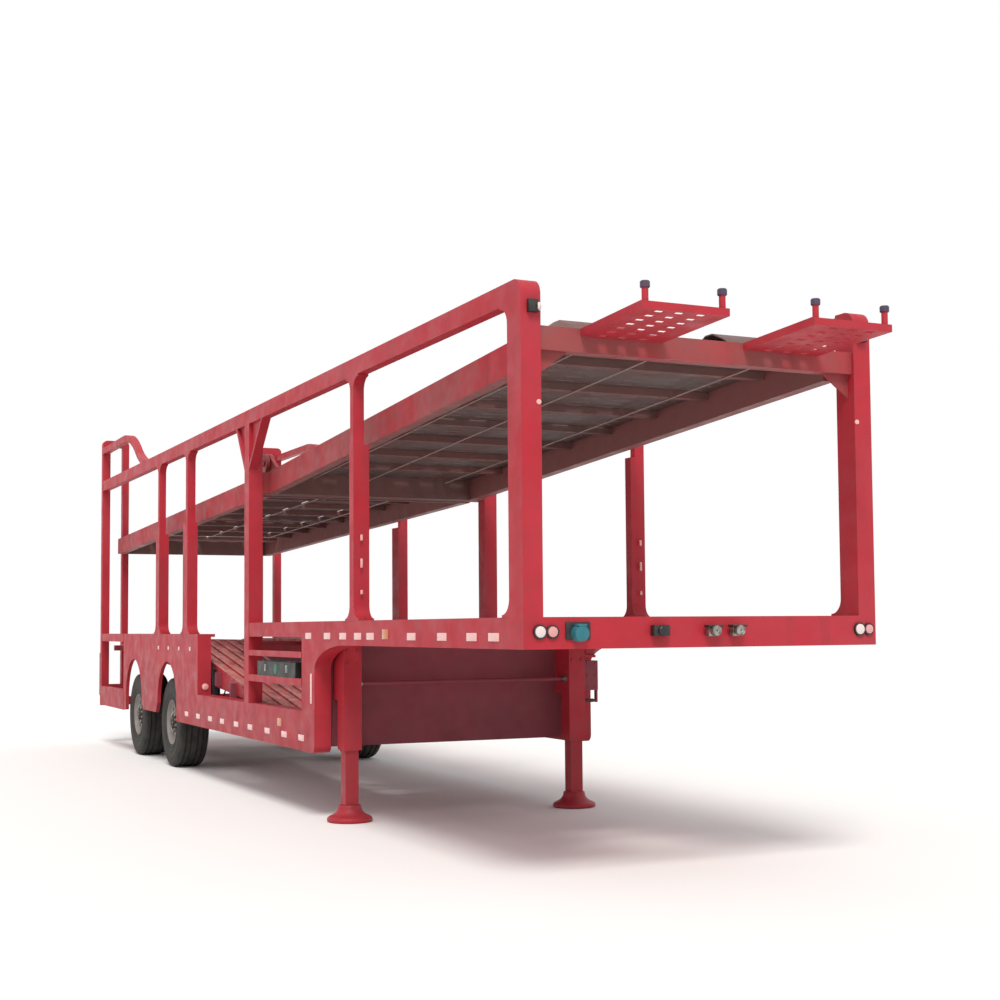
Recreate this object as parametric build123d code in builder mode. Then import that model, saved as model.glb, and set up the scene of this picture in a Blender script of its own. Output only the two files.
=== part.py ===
from build123d import *
import math
import os

os.makedirs("parts", exist_ok=True)

# Car transporter semi-trailer, two decks, parked on its landing legs and its two rear axles.
# Millimetres. +X is forward, +Y is the left side, Z = 0 is the ground.
# A station is a distance behind the front face of the front posts.

# Overall
WIDTH = 2500
TRAY_REACH = 700            # front trays, ahead of the front face
TOWER_STATION = 12940       # front face of the rear towers
TOWER_DEPTH = 100
LAMP_DEPTH = 80             # tail lamps, behind the towers

HALF_WIDTH = WIDTH / 2
FACE_SETBACK = 4            # beam and fender faces, inside the posts' outer faces
BEAM_OUTER = HALF_WIDTH - FACE_SETBACK
REAR_STATION = TOWER_STATION + TOWER_DEPTH + LAMP_DEPTH
FRONT_X = (REAR_STATION - TRAY_REACH) / 2

# Side frame
POST_WIDTH = 130            # across the trailer
POST_INNER = HALF_WIDTH - POST_WIDTH
FRONT_POST_DEPTH = 180
FRONT_POST_CORNER = 90
RAIL_WIDTH = 80
RAIL_TOP = 3530
RAIL_DEPTH = 130
RAIL_BOTTOM = RAIL_TOP - RAIL_DEPTH

# Gooseneck
NECK_TOP = 1575
NECK_DEPTH = 185
NECK_BOTTOM = NECK_TOP - NECK_DEPTH
NECK_BEAM_WIDTH = 140
NECK_BEAM_INNER = BEAM_OUTER - NECK_BEAM_WIDTH
NECK_TAIL_DEPTH = 125
NECK_COLUMN_STATION = 3790
NECK_COLUMN_DEPTH = 330
NECK_ARC_LENGTH = 720
NECK_ARC_DROP = 200
FRONT_BEAM_DEPTH = 120
PLATE = 8                   # pressed sheet and floor plate

# Low deck
LOW_BEAM_TOP = 850
LOW_BEAM_DEPTH = 320
LOW_BEAM_BOTTOM = LOW_BEAM_TOP - LOW_BEAM_DEPTH
LOW_FLOOR_TOP = 800
RIB_HEIGHT = 22
RIB_WIDTH = 34
TRACK_INNER = 400
TRACK_WIDTH = 650
RIB_COUNT = 6
FLOOR_RISE_START = 5570
FLOOR_RISE_END = 9100
HIGH_FLOOR_TOP = 1400
FLOOR_FALL_START = 11750
TAIL_FLOOR_TOP = 1290

# Wheels and axles
AXLE_STATIONS = {"front": 9090, "rear": 10890}
TYRE_RADIUS = 490
TYRE_WIDTH = 330
TYRE_OUTER_FACE = 1190
RIM_RADIUS = 248
HUB_RADIUS = 84
SPINDLE_RADIUS = 40
SPINDLE_CLEARANCE = 0.05
AXLE_TUBE = 127

# Fender
FENDER_FRONT = 7620
FENDER_REAR = 11460
FENDER_TOP = 1470
FENDER_SKIN = 40
ARCH_WIDTH = 940
ARCH_TOP = 1165
ARCH_SHIFT = 60             # arch centres, ahead of the axles
GUARD_BOTTOM = 580
GUARD_TAPER = 120

# Upper deck
DECK_SIDE_GAP = 60          # deck beams to the mid posts
DECK_HALF_WIDTH = POST_INNER - DECK_SIDE_GAP
DECK_BEAM_WIDTH = 90
DECK_BEAM_DEPTH = 200
DECK_TOP_FRONT = 3290
DECK_TOP_MID = 2955
DECK_TOP_REAR = 2745
MID_POST_STATION = 5690
MID_POST_DEPTH = 150
DECK_GAP = 70               # between the fixed and the hinged section
DECK_END_STATION = 12850
HINGE_SETBACK = 60          # hinge axis behind the mid post
HINGE_RISE = 105            # hinge axis above the deck
EAR_RADIUS = 88
EAR_THICKNESS = 32
EAR_GAP = 8
HINGE_PIN_RADIUS = 30
HINGE_CLEARANCE = 0.05
DECK_PLATE = 6
SEAM = 12                   # light gap between the deck plates
CENTRE_HALF_WIDTH = 380

RIGHT_ANGLE = 90
OVERCUT = 1                 # cuts run this far past a face
EDGE_RADIUS = 12            # rounded corners of the equipment box

SIDES = (("right", -1), ("left", 1))


def x_at(station):
    return FRONT_X - station


def side_plane(y):
    # Profile plane with x forward and z up; extrude(amount=-width) grows towards +Y.
    return Plane.XZ.offset(-y)


def low_y(hand, inner, outer):
    # Lower Y bound of a piece between inner and outer distance from the centre line.
    return inner if hand > 0 else -outer


def block(stations, y_bounds, z_bounds, mode=Mode.ADD):
    x_mid = x_at(sum(stations) / 2)
    y_mid = sum(y_bounds) / 2
    z_mid = sum(z_bounds) / 2
    with Locations((x_mid, y_mid, z_mid)):
        Box(
            abs(stations[1] - stations[0]),
            abs(y_bounds[1] - y_bounds[0]),
            abs(z_bounds[1] - z_bounds[0]),
            mode=mode,
        )


def outline(points):
    # Closed outline from (station, height) pairs.
    Polyline(*[(x_at(station), height) for station, height in points], close=True)


def strip_points(path, rise, drop):
    # Closed strip that follows a path of (station, height) pairs.
    upper = [(station, height + rise) for station, height in path]
    lower = [(station, height - drop) for station, height in reversed(path)]
    return upper + lower


def deck_top(station):
    # Height of the upper deck beams, two straight runs that meet at the mid posts.
    knee = MID_POST_STATION + MID_POST_DEPTH
    if station <= knee:
        return DECK_TOP_FRONT + (DECK_TOP_MID - DECK_TOP_FRONT) * station / knee
    run = (station - knee) / (DECK_END_STATION - knee)
    return DECK_TOP_MID + (DECK_TOP_REAR - DECK_TOP_MID) * run


def save(piece, name):
    piece.part.label = name
    export_step(piece.part, f"parts/{name}.step")


# Front cross beam between the feet of the front posts
with BuildPart() as front_cross_beam:
    block((0, FRONT_BEAM_DEPTH), (-POST_INNER, POST_INNER), (NECK_BOTTOM, NECK_TOP))
save(front_cross_beam, "front_cross_beam")

# Gooseneck side beams with the curved neck and its column
neck_front = FRONT_POST_DEPTH
column_rear = NECK_COLUMN_STATION + NECK_COLUMN_DEPTH
arc_front = NECK_COLUMN_STATION - NECK_ARC_LENGTH
with BuildPart() as gooseneck_beams:
    for side, hand in SIDES:
        with BuildSketch(side_plane(low_y(hand, NECK_BEAM_INNER, BEAM_OUTER))):
            with BuildLine():
                Polyline(
                    (x_at(arc_front), NECK_BOTTOM),
                    (x_at(neck_front), NECK_BOTTOM),
                    (x_at(neck_front), NECK_TOP),
                    (x_at(MID_POST_STATION), NECK_TOP),
                    (x_at(MID_POST_STATION), NECK_TOP - NECK_TAIL_DEPTH),
                    (x_at(column_rear), NECK_TOP - NECK_TAIL_DEPTH),
                    (x_at(column_rear), LOW_BEAM_TOP),
                    (x_at(NECK_COLUMN_STATION), LOW_BEAM_TOP),
                    (x_at(NECK_COLUMN_STATION), NECK_BOTTOM - NECK_ARC_DROP),
                )
                EllipticalCenterArc(
                    (x_at(arc_front), NECK_BOTTOM - NECK_ARC_DROP),
                    NECK_ARC_LENGTH,
                    NECK_ARC_DROP,
                    start_angle=RIGHT_ANGLE,
                    arc_size=RIGHT_ANGLE,
                )
            make_face()
        extrude(amount=-NECK_BEAM_WIDTH)
save(gooseneck_beams, "gooseneck_beams")

# Neck panel between the two columns, with a flange folded back along its foot
PANEL_STATION = 3830
PANEL_BOTTOM = 577
PANEL_FLANGE = 90
with BuildPart() as neck_panel:
    with BuildSketch(side_plane(-NECK_BEAM_INNER)):
        with BuildLine():
            outline([
                (PANEL_STATION, NECK_BOTTOM),
                (PANEL_STATION, PANEL_BOTTOM),
                (PANEL_STATION + PANEL_FLANGE, PANEL_BOTTOM),
                (PANEL_STATION + PANEL_FLANGE, PANEL_BOTTOM + PLATE),
                (PANEL_STATION + PLATE, PANEL_BOTTOM + PLATE),
                (PANEL_STATION + PLATE, NECK_BOTTOM),
            ])
        make_face()
    extrude(amount=-2 * NECK_BEAM_INNER)
save(neck_panel, "neck_panel")

# Cross members: each row runs from its first to its last station in equal steps
MEMBER_WIDTH = 60
NECK_MEMBERS = 6
NECK_MEMBER_FIRST = 650
NECK_MEMBER_LAST = 3700
NECK_MEMBER_DEPTH = 110
NECK_FLOOR_BASE = NECK_TOP - RIB_HEIGHT - PLATE


def member_row(first, last, count):
    # Stations of the front faces of a row of cross members.
    return [first + index * (last - first) / (count - 1) for index in range(count)]


with BuildPart() as gooseneck_cross_members:
    for station in member_row(NECK_MEMBER_FIRST, NECK_MEMBER_LAST, NECK_MEMBERS):
        block(
            (station, station + MEMBER_WIDTH),
            (-NECK_BEAM_INNER, NECK_BEAM_INNER),
            (NECK_FLOOR_BASE - NECK_MEMBER_DEPTH, NECK_FLOOR_BASE),
        )
save(gooseneck_cross_members, "gooseneck_cross_members")


def floor_track(path, hand, inner, width):
    # Floor plate along a path of (station, height) pairs with raised lengthwise ribs.
    with BuildSketch(side_plane(low_y(hand, inner, inner + width))) as plate:
        with BuildLine():
            outline(strip_points(path, -RIB_HEIGHT, RIB_HEIGHT + PLATE))
        make_face()
    extrude(plate.sketch, amount=-width)
    pitch = (width - RIB_WIDTH) / (RIB_COUNT - 1)
    for index in range(RIB_COUNT):
        rib_inner = inner + index * pitch
        with BuildSketch(side_plane(low_y(hand, rib_inner, rib_inner + RIB_WIDTH))) as rib:
            with BuildLine():
                outline(strip_points(path, 0, RIB_HEIGHT))
            make_face()
        extrude(rib.sketch, amount=-RIB_WIDTH)


# Gooseneck floor, one ribbed track for each side's wheels
NECK_FLOOR_FRONT = 200
NECK_FLOOR_REAR = 4110
with BuildPart() as gooseneck_tracks:
    for side, hand in SIDES:
        floor_track([(NECK_FLOOR_FRONT, NECK_TOP), (NECK_FLOOR_REAR, NECK_TOP)], hand, TRACK_INNER, TRACK_WIDTH)
save(gooseneck_tracks, "gooseneck_tracks")

# Coupler: skid plate under two ribs, with the king pin's collar, neck and head below it
KING_PIN_STATION = 1500
SKID_FRONT = 1180
SKID_REAR = 1890
SKID_HALF_WIDTH = 420
SKID_PLATE = 12
SKID_FACE = NECK_BOTTOM
SKID_RIBS = (-400, -150, 130, 380)
RIB_PLATE = 20
KING_PIN_RADIUS = 25.4
KING_PIN_LENGTH = 84
KING_PIN_COLLAR = 36.5
KING_PIN_HEAD = 35.7
KING_PIN_COLLAR_LENGTH = 35
KING_PIN_HEAD_LENGTH = 17
with BuildPart() as coupler_plate:
    block((SKID_FRONT, SKID_REAR), (-SKID_HALF_WIDTH, SKID_HALF_WIDTH), (SKID_FACE, SKID_FACE + SKID_PLATE))
    rib_top = NECK_FLOOR_BASE - NECK_MEMBER_DEPTH
    for rib_low in SKID_RIBS:
        block((SKID_FRONT, SKID_REAR), (rib_low, rib_low + RIB_PLATE), (SKID_FACE + SKID_PLATE, rib_top))
    pin_x = x_at(KING_PIN_STATION)
    neck_start = SKID_FACE - KING_PIN_COLLAR_LENGTH
    neck_end = SKID_FACE - KING_PIN_LENGTH + KING_PIN_HEAD_LENGTH
    with BuildSketch(Plane.XZ):
        with BuildLine():
            Polyline(
                (pin_x, SKID_FACE + SKID_PLATE / 2),
                (pin_x + KING_PIN_COLLAR, SKID_FACE + SKID_PLATE / 2),
                (pin_x + KING_PIN_COLLAR, neck_start),
                (pin_x + KING_PIN_RADIUS, neck_start),
                (pin_x + KING_PIN_RADIUS, neck_end),
                (pin_x + KING_PIN_HEAD, neck_end),
                (pin_x + KING_PIN_HEAD, SKID_FACE - KING_PIN_LENGTH),
                (pin_x, SKID_FACE - KING_PIN_LENGTH),
                close=True,
            )
        make_face()
    revolve(axis=Axis((pin_x, 0, 0), (0, 0, 1)))
save(coupler_plate, "coupler_plate")

# Low side beams from the neck back to the fenders
BEAM_NOSE = 60
with BuildPart() as low_beams:
    for side, hand in SIDES:
        with BuildSketch(side_plane(low_y(hand, NECK_BEAM_INNER, BEAM_OUTER))):
            with BuildLine():
                outline([
                    (NECK_COLUMN_STATION, LOW_BEAM_TOP),
                    (FENDER_FRONT, LOW_BEAM_TOP),
                    (FENDER_FRONT, LOW_BEAM_BOTTOM),
                    (NECK_COLUMN_STATION, LOW_BEAM_BOTTOM),
                ])
            make_face()
        extrude(amount=-NECK_BEAM_WIDTH)
    nose_edges = low_beams.edges().filter_by(Axis.Y).group_by(Axis.Z)[0].sort_by(Axis.X)[-2:]
    fillet(nose_edges, radius=BEAM_NOSE)
save(low_beams, "low_beams")

# Low deck cross members under the tracks, and one more where the tracks start to rise
LOW_TRACK_FRONT = 4150
LOW_MEMBERS = 3
LOW_MEMBER_SETBACK = 30
LOW_MEMBER_LAST_GAP = 320
LOW_MEMBER_DEPTH = 140
LOW_FLOOR_BASE = LOW_FLOOR_TOP - RIB_HEIGHT - PLATE
low_stations = member_row(LOW_TRACK_FRONT + LOW_MEMBER_SETBACK, FLOOR_RISE_START - LOW_MEMBER_LAST_GAP, LOW_MEMBERS)
low_stations.append(FLOOR_RISE_START)
# Low deck tracks: flat, up over the axles, and gently down to the tail
track_path = [
    (LOW_TRACK_FRONT, LOW_FLOOR_TOP),
    (FLOOR_RISE_START, LOW_FLOOR_TOP),
    (FLOOR_RISE_END, HIGH_FLOOR_TOP),
    (FLOOR_FALL_START, HIGH_FLOOR_TOP),
    (TOWER_STATION, TAIL_FLOOR_TOP),
]
TRACK_JOINT = 2             # open joint between two runs of a track
track_runs = [
    [(start + TRACK_JOINT, start_height), (end, end_height)]
    for (start, start_height), (end, end_height) in zip(track_path, track_path[1:])
]
with BuildPart() as low_tracks:
    for side, hand in SIDES:
        for run in track_runs:
            floor_track(run, hand, TRACK_INNER, TRACK_WIDTH)
save(low_tracks, "low_tracks")


def track_height(station):
    # Height of the ribs' tops along the low deck.
    for (start, start_height), (end, end_height) in track_runs:
        if start <= station <= end:
            return start_height + (end_height - start_height) * (station - start) / (end - start)
    return track_path[-1][1]


# Low cross members, and shorter outriggers under the rising floor between the chassis beams and the low beams
CHASSIS_INNER = 430
CHASSIS_WIDTH = 130
OUTRIGGERS = 3
OUTRIGGER_FIRST_GAP = 700
OUTRIGGER_LAST_GAP = 1700
cross_bars = [(station, 0, LOW_FLOOR_BASE) for station in low_stations]
cross_bars += [
    (station, CHASSIS_INNER + CHASSIS_WIDTH, track_height(station) - RIB_HEIGHT - PLATE)
    for station in member_row(FLOOR_RISE_START + OUTRIGGER_FIRST_GAP, FLOOR_RISE_END - OUTRIGGER_LAST_GAP, OUTRIGGERS)
]
with BuildPart() as low_cross_members:
    for station, inner, top in cross_bars:
        for side, hand in SIDES:
            bar_low = low_y(hand, inner, NECK_BEAM_INNER)
            block(
                (station, station + MEMBER_WIDTH),
                (bar_low, bar_low + NECK_BEAM_INNER - inner),
                (top - LOW_MEMBER_DEPTH, top),
            )
save(low_cross_members, "low_cross_members")

# Chassis beams that rise under the floor from the last low cross member and run over the axles
CHASSIS_FRONT = FLOOR_RISE_START + MEMBER_WIDTH
CHASSIS_BOTTOM = 1050
CHASSIS_TOP = 1250
CHASSIS_TAPER = 60
floor_slope = (HIGH_FLOOR_TOP - LOW_FLOOR_TOP) / (FLOOR_RISE_END - FLOOR_RISE_START)
chassis_top_knee = CHASSIS_FRONT + (CHASSIS_TOP - LOW_FLOOR_BASE + PLATE) / floor_slope
chassis_low_knee = CHASSIS_FRONT + (CHASSIS_BOTTOM - LOW_FLOOR_BASE + LOW_MEMBER_DEPTH) / floor_slope
with BuildPart() as chassis_beams:
    for side, hand in SIDES:
        with BuildSketch(side_plane(low_y(hand, CHASSIS_INNER, CHASSIS_INNER + CHASSIS_WIDTH))):
            with BuildLine():
                outline([
                    (CHASSIS_FRONT, LOW_FLOOR_BASE - LOW_MEMBER_DEPTH),
                    (CHASSIS_FRONT, LOW_FLOOR_BASE - PLATE),
                    (chassis_top_knee, CHASSIS_TOP),
                    (TOWER_STATION, CHASSIS_TOP),
                    (TOWER_STATION, CHASSIS_BOTTOM + CHASSIS_TAPER),
                    (FLOOR_FALL_START, CHASSIS_BOTTOM),
                    (chassis_low_knee, CHASSIS_BOTTOM),
                ])
            make_face()
        extrude(amount=-CHASSIS_WIDTH)
save(chassis_beams, "chassis_beams")

# High cross members on the chassis beams, which carry the tracks and reach the fenders
HIGH_MEMBERS = 6
HIGH_MEMBER_LEAD = 250     # first high member, ahead of the end of the rise
HIGH_MEMBER_LAST_GAP = 150
TAIL_MEMBER_GAP = 500
high_stations = member_row(FLOOR_RISE_END - HIGH_MEMBER_LEAD, FLOOR_FALL_START - HIGH_MEMBER_LAST_GAP, HIGH_MEMBERS)
high_stations.append(FLOOR_FALL_START + TAIL_MEMBER_GAP)
with BuildPart() as high_cross_members:
    for station in high_stations:
        member_top = min(track_height(station), track_height(station + MEMBER_WIDTH)) - RIB_HEIGHT - PLATE
        block(
            (station, station + MEMBER_WIDTH),
            (FENDER_SKIN - BEAM_OUTER, BEAM_OUTER - FENDER_SKIN),
            (CHASSIS_TOP, member_top),
        )
save(high_cross_members, "high_cross_members")

# Fenders: side skin with two arches and a tapered guard between the wheels
FENDER_CAP_GAP = 15
arch_centres = tuple(station - ARCH_SHIFT for station in AXLE_STATIONS.values())
FENDER_FOOT = LOW_BEAM_BOTTOM
FENDER_CAP = 30
FENDER_END_POST = 60
FENDER_CAP_INNER = TRACK_INNER + TRACK_WIDTH + FENDER_CAP_GAP
with BuildPart() as fenders:
    for side, hand in SIDES:
        with BuildSketch(side_plane(low_y(hand, BEAM_OUTER - FENDER_SKIN, BEAM_OUTER))):
            with BuildLine():
                outline([
                    (FENDER_FRONT, FENDER_FOOT),
                    (FENDER_FRONT, FENDER_TOP),
                    (FENDER_REAR, FENDER_TOP),
                    (FENDER_REAR, FENDER_FOOT),
                ])
            make_face()
            for centre, lean in zip(arch_centres, (1, -1)):
                spring_line = ARCH_TOP - ARCH_WIDTH / 2
                guard_side = centre + lean * ARCH_WIDTH / 2
                outer_side = centre - lean * ARCH_WIDTH / 2
                with BuildLine():
                    ThreePointArc(
                        (x_at(guard_side), spring_line),
                        (x_at(centre), ARCH_TOP),
                        (x_at(outer_side), spring_line),
                    )
                    Polyline(
                        (x_at(outer_side), spring_line),
                        (x_at(outer_side), FENDER_FOOT - OVERCUT),
                        (x_at(guard_side + lean * GUARD_TAPER), FENDER_FOOT - OVERCUT),
                        (x_at(guard_side), spring_line),
                    )
                make_face(mode=Mode.SUBTRACT)
            with BuildLine():
                outline([
                    (arch_centres[0], FENDER_FOOT - OVERCUT),
                    (arch_centres[1], FENDER_FOOT - OVERCUT),
                    (arch_centres[1], GUARD_BOTTOM),
                    (arch_centres[0], GUARD_BOTTOM),
                ])
            make_face(mode=Mode.SUBTRACT)
        extrude(amount=-FENDER_SKIN)
        for inner, end, bottom in (
            (FENDER_CAP_INNER, FENDER_REAR, FENDER_TOP - FENDER_CAP),
            (NECK_BEAM_INNER, FENDER_FRONT + FENDER_END_POST, FENDER_FOOT),
        ):
            stay_low = low_y(hand, inner, BEAM_OUTER - FENDER_SKIN)
            stay_width = BEAM_OUTER - FENDER_SKIN - inner
            block((FENDER_FRONT, end), (stay_low, stay_low + stay_width), (bottom, FENDER_TOP))
save(fenders, "fenders")

# Front posts with a rounded head, and a curved flare behind them on the neck and under the rail
FLARE_RADIUS = 100
FLARE_BASE = 14
FLARE_LIP = 2               # straight edge left at each end of a flare
with BuildPart() as front_posts:
    for side, hand in SIDES:
        with BuildSketch(side_plane(low_y(hand, POST_INNER, HALF_WIDTH))):
            with BuildLine():
                Polyline(
                    (x_at(0), RAIL_TOP - FRONT_POST_CORNER),
                    (x_at(0), NECK_BOTTOM),
                    (x_at(FRONT_POST_DEPTH), NECK_BOTTOM),
                    (x_at(FRONT_POST_DEPTH), NECK_TOP),
                    (x_at(FRONT_POST_DEPTH + FLARE_RADIUS), NECK_TOP),
                    (x_at(FRONT_POST_DEPTH + FLARE_RADIUS), NECK_TOP + FLARE_BASE),
                    (x_at(FRONT_POST_DEPTH), NECK_TOP + FLARE_BASE),
                    (x_at(FRONT_POST_DEPTH), RAIL_BOTTOM - FLARE_BASE),
                    (x_at(FRONT_POST_DEPTH + FLARE_RADIUS), RAIL_BOTTOM - FLARE_BASE),
                    (x_at(FRONT_POST_DEPTH + FLARE_RADIUS), RAIL_BOTTOM),
                    (x_at(FRONT_POST_DEPTH), RAIL_BOTTOM),
                    (x_at(FRONT_POST_DEPTH), RAIL_TOP),
                    (x_at(FRONT_POST_CORNER), RAIL_TOP),
                )
                RadiusArc(
                    (x_at(0), RAIL_TOP - FRONT_POST_CORNER),
                    (x_at(FRONT_POST_CORNER), RAIL_TOP),
                    -FRONT_POST_CORNER,
                )
            make_face()
            for height in (NECK_TOP + FLARE_BASE, RAIL_BOTTOM - FLARE_BASE):
                corner = vertices().filter_by_position(Axis.Y, height - OVERCUT, height + OVERCUT).sort_by(Axis.X)[-1]
                fillet(corner, radius=FLARE_RADIUS - FLARE_LIP)
        extrude(amount=-POST_WIDTH)
save(front_posts, "front_posts")

# Intermediate posts: a stout foot, and a thinner stanchion above the deck, with curved flares at both ends
STANCHION_STEP = 40         # below the deck beam's underside
POSTS = {
    # name: (station, foot height, lower depth, lower width, upper depth, upper width)
    "second": (2850, NECK_TOP, 90, 125, 70, 85),
    "fourth": (8070, FENDER_TOP, 200, 110, 80, 85),
    "fifth": (9430, FENDER_TOP, 170, 110, 70, 75),
}
with BuildPart() as side_posts:
    for station, foot, lower_depth, lower_width, upper_depth, upper_width in POSTS.values():
        step_height = deck_top(station) - DECK_BEAM_DEPTH - STANCHION_STEP
        for side, hand in SIDES:
            with BuildSketch(side_plane(low_y(hand, HALF_WIDTH - lower_width, HALF_WIDTH))):
                with BuildLine():
                    outline([
                        (station - FLARE_RADIUS, foot),
                        (station - FLARE_RADIUS, foot + FLARE_BASE),
                        (station, foot + FLARE_BASE),
                        (station, step_height),
                        (station + lower_depth, step_height),
                        (station + lower_depth, foot + FLARE_BASE),
                        (station + lower_depth + FLARE_RADIUS, foot + FLARE_BASE),
                        (station + lower_depth + FLARE_RADIUS, foot),
                    ])
                make_face()
                corners = vertices().filter_by_position(
                    Axis.Y, foot + FLARE_BASE - OVERCUT, foot + FLARE_BASE + OVERCUT
                ).sort_by(Axis.X)[1:3]
                fillet(corners, radius=FLARE_RADIUS - FLARE_LIP)
            extrude(amount=-lower_width)
            with BuildSketch(side_plane(low_y(hand, HALF_WIDTH - upper_width, HALF_WIDTH))):
                with BuildLine():
                    outline([
                        (station - FLARE_RADIUS, RAIL_BOTTOM),
                        (station - FLARE_RADIUS, RAIL_BOTTOM - FLARE_BASE),
                        (station, RAIL_BOTTOM - FLARE_BASE),
                        (station, step_height),
                        (station + upper_depth, step_height),
                        (station + upper_depth, RAIL_BOTTOM - FLARE_BASE),
                        (station + upper_depth + FLARE_RADIUS, RAIL_BOTTOM - FLARE_BASE),
                        (station + upper_depth + FLARE_RADIUS, RAIL_BOTTOM),
                    ])
                make_face()
                corners = vertices().filter_by_position(
                    Axis.Y, RAIL_BOTTOM - FLARE_BASE - OVERCUT, RAIL_BOTTOM - FLARE_BASE + OVERCUT
                ).sort_by(Axis.X)[1:3]
                fillet(corners, radius=FLARE_RADIUS - FLARE_LIP)
            extrude(amount=-upper_width)
save(side_posts, "side_posts")

# Mid posts, the stoutest, up to the rail between two flanged gusset plates
GUSSET_FRONT = 5260
GUSSET_REAR = 6140
GUSSET_FOOT = 2980
GUSSET_PLATE = 12
GUSSET_FLANGE = 40          # along the rail, at the sloping edges
gussets = (
    # edge of the post, end of the gusset at the rail
    (MID_POST_STATION, GUSSET_FRONT),
    (MID_POST_STATION + MID_POST_DEPTH, GUSSET_REAR),
)
with BuildPart() as mid_posts:
    for side, hand in SIDES:
        post_low = low_y(hand, POST_INNER, HALF_WIDTH)
        block(
            (MID_POST_STATION, MID_POST_STATION + MID_POST_DEPTH),
            (post_low, post_low + POST_WIDTH),
            (LOW_BEAM_TOP, RAIL_BOTTOM),
        )
        for edge, reach in gussets:
            inward = math.copysign(GUSSET_FLANGE, edge - reach)
            flange_rise = (RAIL_BOTTOM - GUSSET_FOOT) * inward / (edge - reach)
            sheet_inner = HALF_WIDTH - (RAIL_WIDTH + GUSSET_PLATE) / 2
            for inner, width, corner in (
                (HALF_WIDTH - RAIL_WIDTH, RAIL_WIDTH, (reach + inward, RAIL_BOTTOM)),
                (sheet_inner, GUSSET_PLATE, (edge, RAIL_BOTTOM)),
            ):
                with BuildSketch(side_plane(low_y(hand, inner, inner + width))):
                    with BuildLine():
                        outline([
                            (edge, GUSSET_FOOT),
                            (reach, RAIL_BOTTOM),
                            corner,
                            (edge, GUSSET_FOOT + flange_rise),
                        ])
                    make_face()
                extrude(amount=-width)
save(mid_posts, "mid_posts")

# Top rails, with a second rail that sweeps up to the tower's head
SWEEP_START = 10050
SWEEP_END = 11550
SWEEP_TOP = 3985
SWEEP_DEPTH = 80


def ogee(start, end):
    # Two equal arcs from one level run to the next, between (station, height) pairs.
    middle = ((x_at(start[0]) + x_at(end[0])) / 2, (start[1] + end[1]) / 2)
    first = TangentArc((x_at(start[0]), start[1]), middle, tangent=(-1, 0))
    second = TangentArc(middle, (x_at(end[0]), end[1]), tangent=first % 1)
    return second @ 1


with BuildPart() as top_rails:
    for side, hand in SIDES:
        with BuildSketch(side_plane(low_y(hand, HALF_WIDTH - RAIL_WIDTH, HALF_WIDTH))):
            with BuildLine():
                outline([
                    (FRONT_POST_DEPTH, RAIL_BOTTOM),
                    (FRONT_POST_DEPTH, RAIL_TOP),
                    (TOWER_STATION, RAIL_TOP),
                    (TOWER_STATION, RAIL_BOTTOM),
                ])
            make_face()
            with BuildLine():
                upper_end = ogee((SWEEP_START, RAIL_TOP), (SWEEP_END, SWEEP_TOP))
                lower_end = ogee((SWEEP_START, RAIL_TOP - SWEEP_DEPTH), (SWEEP_END, SWEEP_TOP - SWEEP_DEPTH))
                Polyline(upper_end, (x_at(TOWER_STATION), SWEEP_TOP),
                         (x_at(TOWER_STATION), SWEEP_TOP - SWEEP_DEPTH), lower_end)
                Line((x_at(SWEEP_START), RAIL_TOP), (x_at(SWEEP_START), RAIL_TOP - SWEEP_DEPTH))
            make_face()
        extrude(amount=-RAIL_WIDTH)
save(top_rails, "top_rails")

# Rear towers: two uprights on a box foot under a rounded head; the deck's end rides between them
TOWER_OUTER_WIDTH = 100
TOWER_INNER = 900
TOWER_INNER_WIDTH = 85
TOWER_TOP = 4090
TOWER_HEAD = 90
TOWER_CORNER = 60
TOWER_FOOT_TOP = 790
TOWER_FOOT = 510
with BuildPart() as rear_towers:
    for side, hand in SIDES:
        with BuildSketch(Plane.YZ.offset(x_at(TOWER_STATION + TOWER_DEPTH))):
            with BuildLine():
                Polyline(
                    (hand * TOWER_INNER, TOWER_FOOT),
                    (hand * TOWER_INNER, TOWER_TOP),
                    (hand * HALF_WIDTH, TOWER_TOP),
                    (hand * HALF_WIDTH, TOWER_FOOT),
                    close=True,
                )
            make_face()
            fillet(vertices().group_by(Axis.Y)[-1], radius=TOWER_CORNER)
            with BuildLine():
                Polyline(
                    (hand * (TOWER_INNER + TOWER_INNER_WIDTH), TOWER_FOOT_TOP),
                    (hand * (TOWER_INNER + TOWER_INNER_WIDTH), TOWER_TOP - TOWER_HEAD),
                    (hand * (HALF_WIDTH - TOWER_OUTER_WIDTH), TOWER_TOP - TOWER_HEAD),
                    (hand * (HALF_WIDTH - TOWER_OUTER_WIDTH), TOWER_FOOT_TOP),
                    close=True,
                )
            make_face(mode=Mode.SUBTRACT)
        extrude(amount=TOWER_DEPTH)
save(rear_towers, "rear_towers")

# Tail side rails from the fenders to the towers: a floor edge beam and a low guard rail on each side
TAIL_GUARD_TOP = 770
TAIL_GUARD_BOTTOM = 520
TAIL_GUARD_WIDTH = 60
TAIL_EDGE_TOP = FENDER_TOP
TAIL_EDGE_BOTTOM = HIGH_FLOOR_TOP - RIB_HEIGHT - PLATE
with BuildPart() as tail_side_rails:
    for side, hand in SIDES:
        for width, bottom, top in (
            (TAIL_GUARD_WIDTH, TAIL_GUARD_BOTTOM, TAIL_GUARD_TOP),
            (RAIL_WIDTH, TAIL_EDGE_BOTTOM, TAIL_EDGE_TOP),
        ):
            rail_low = low_y(hand, HALF_WIDTH - width, HALF_WIDTH)
            block((FENDER_REAR, TOWER_STATION), (rail_low, rail_low + width), (bottom, top))
save(tail_side_rails, "tail_side_rails")

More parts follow.
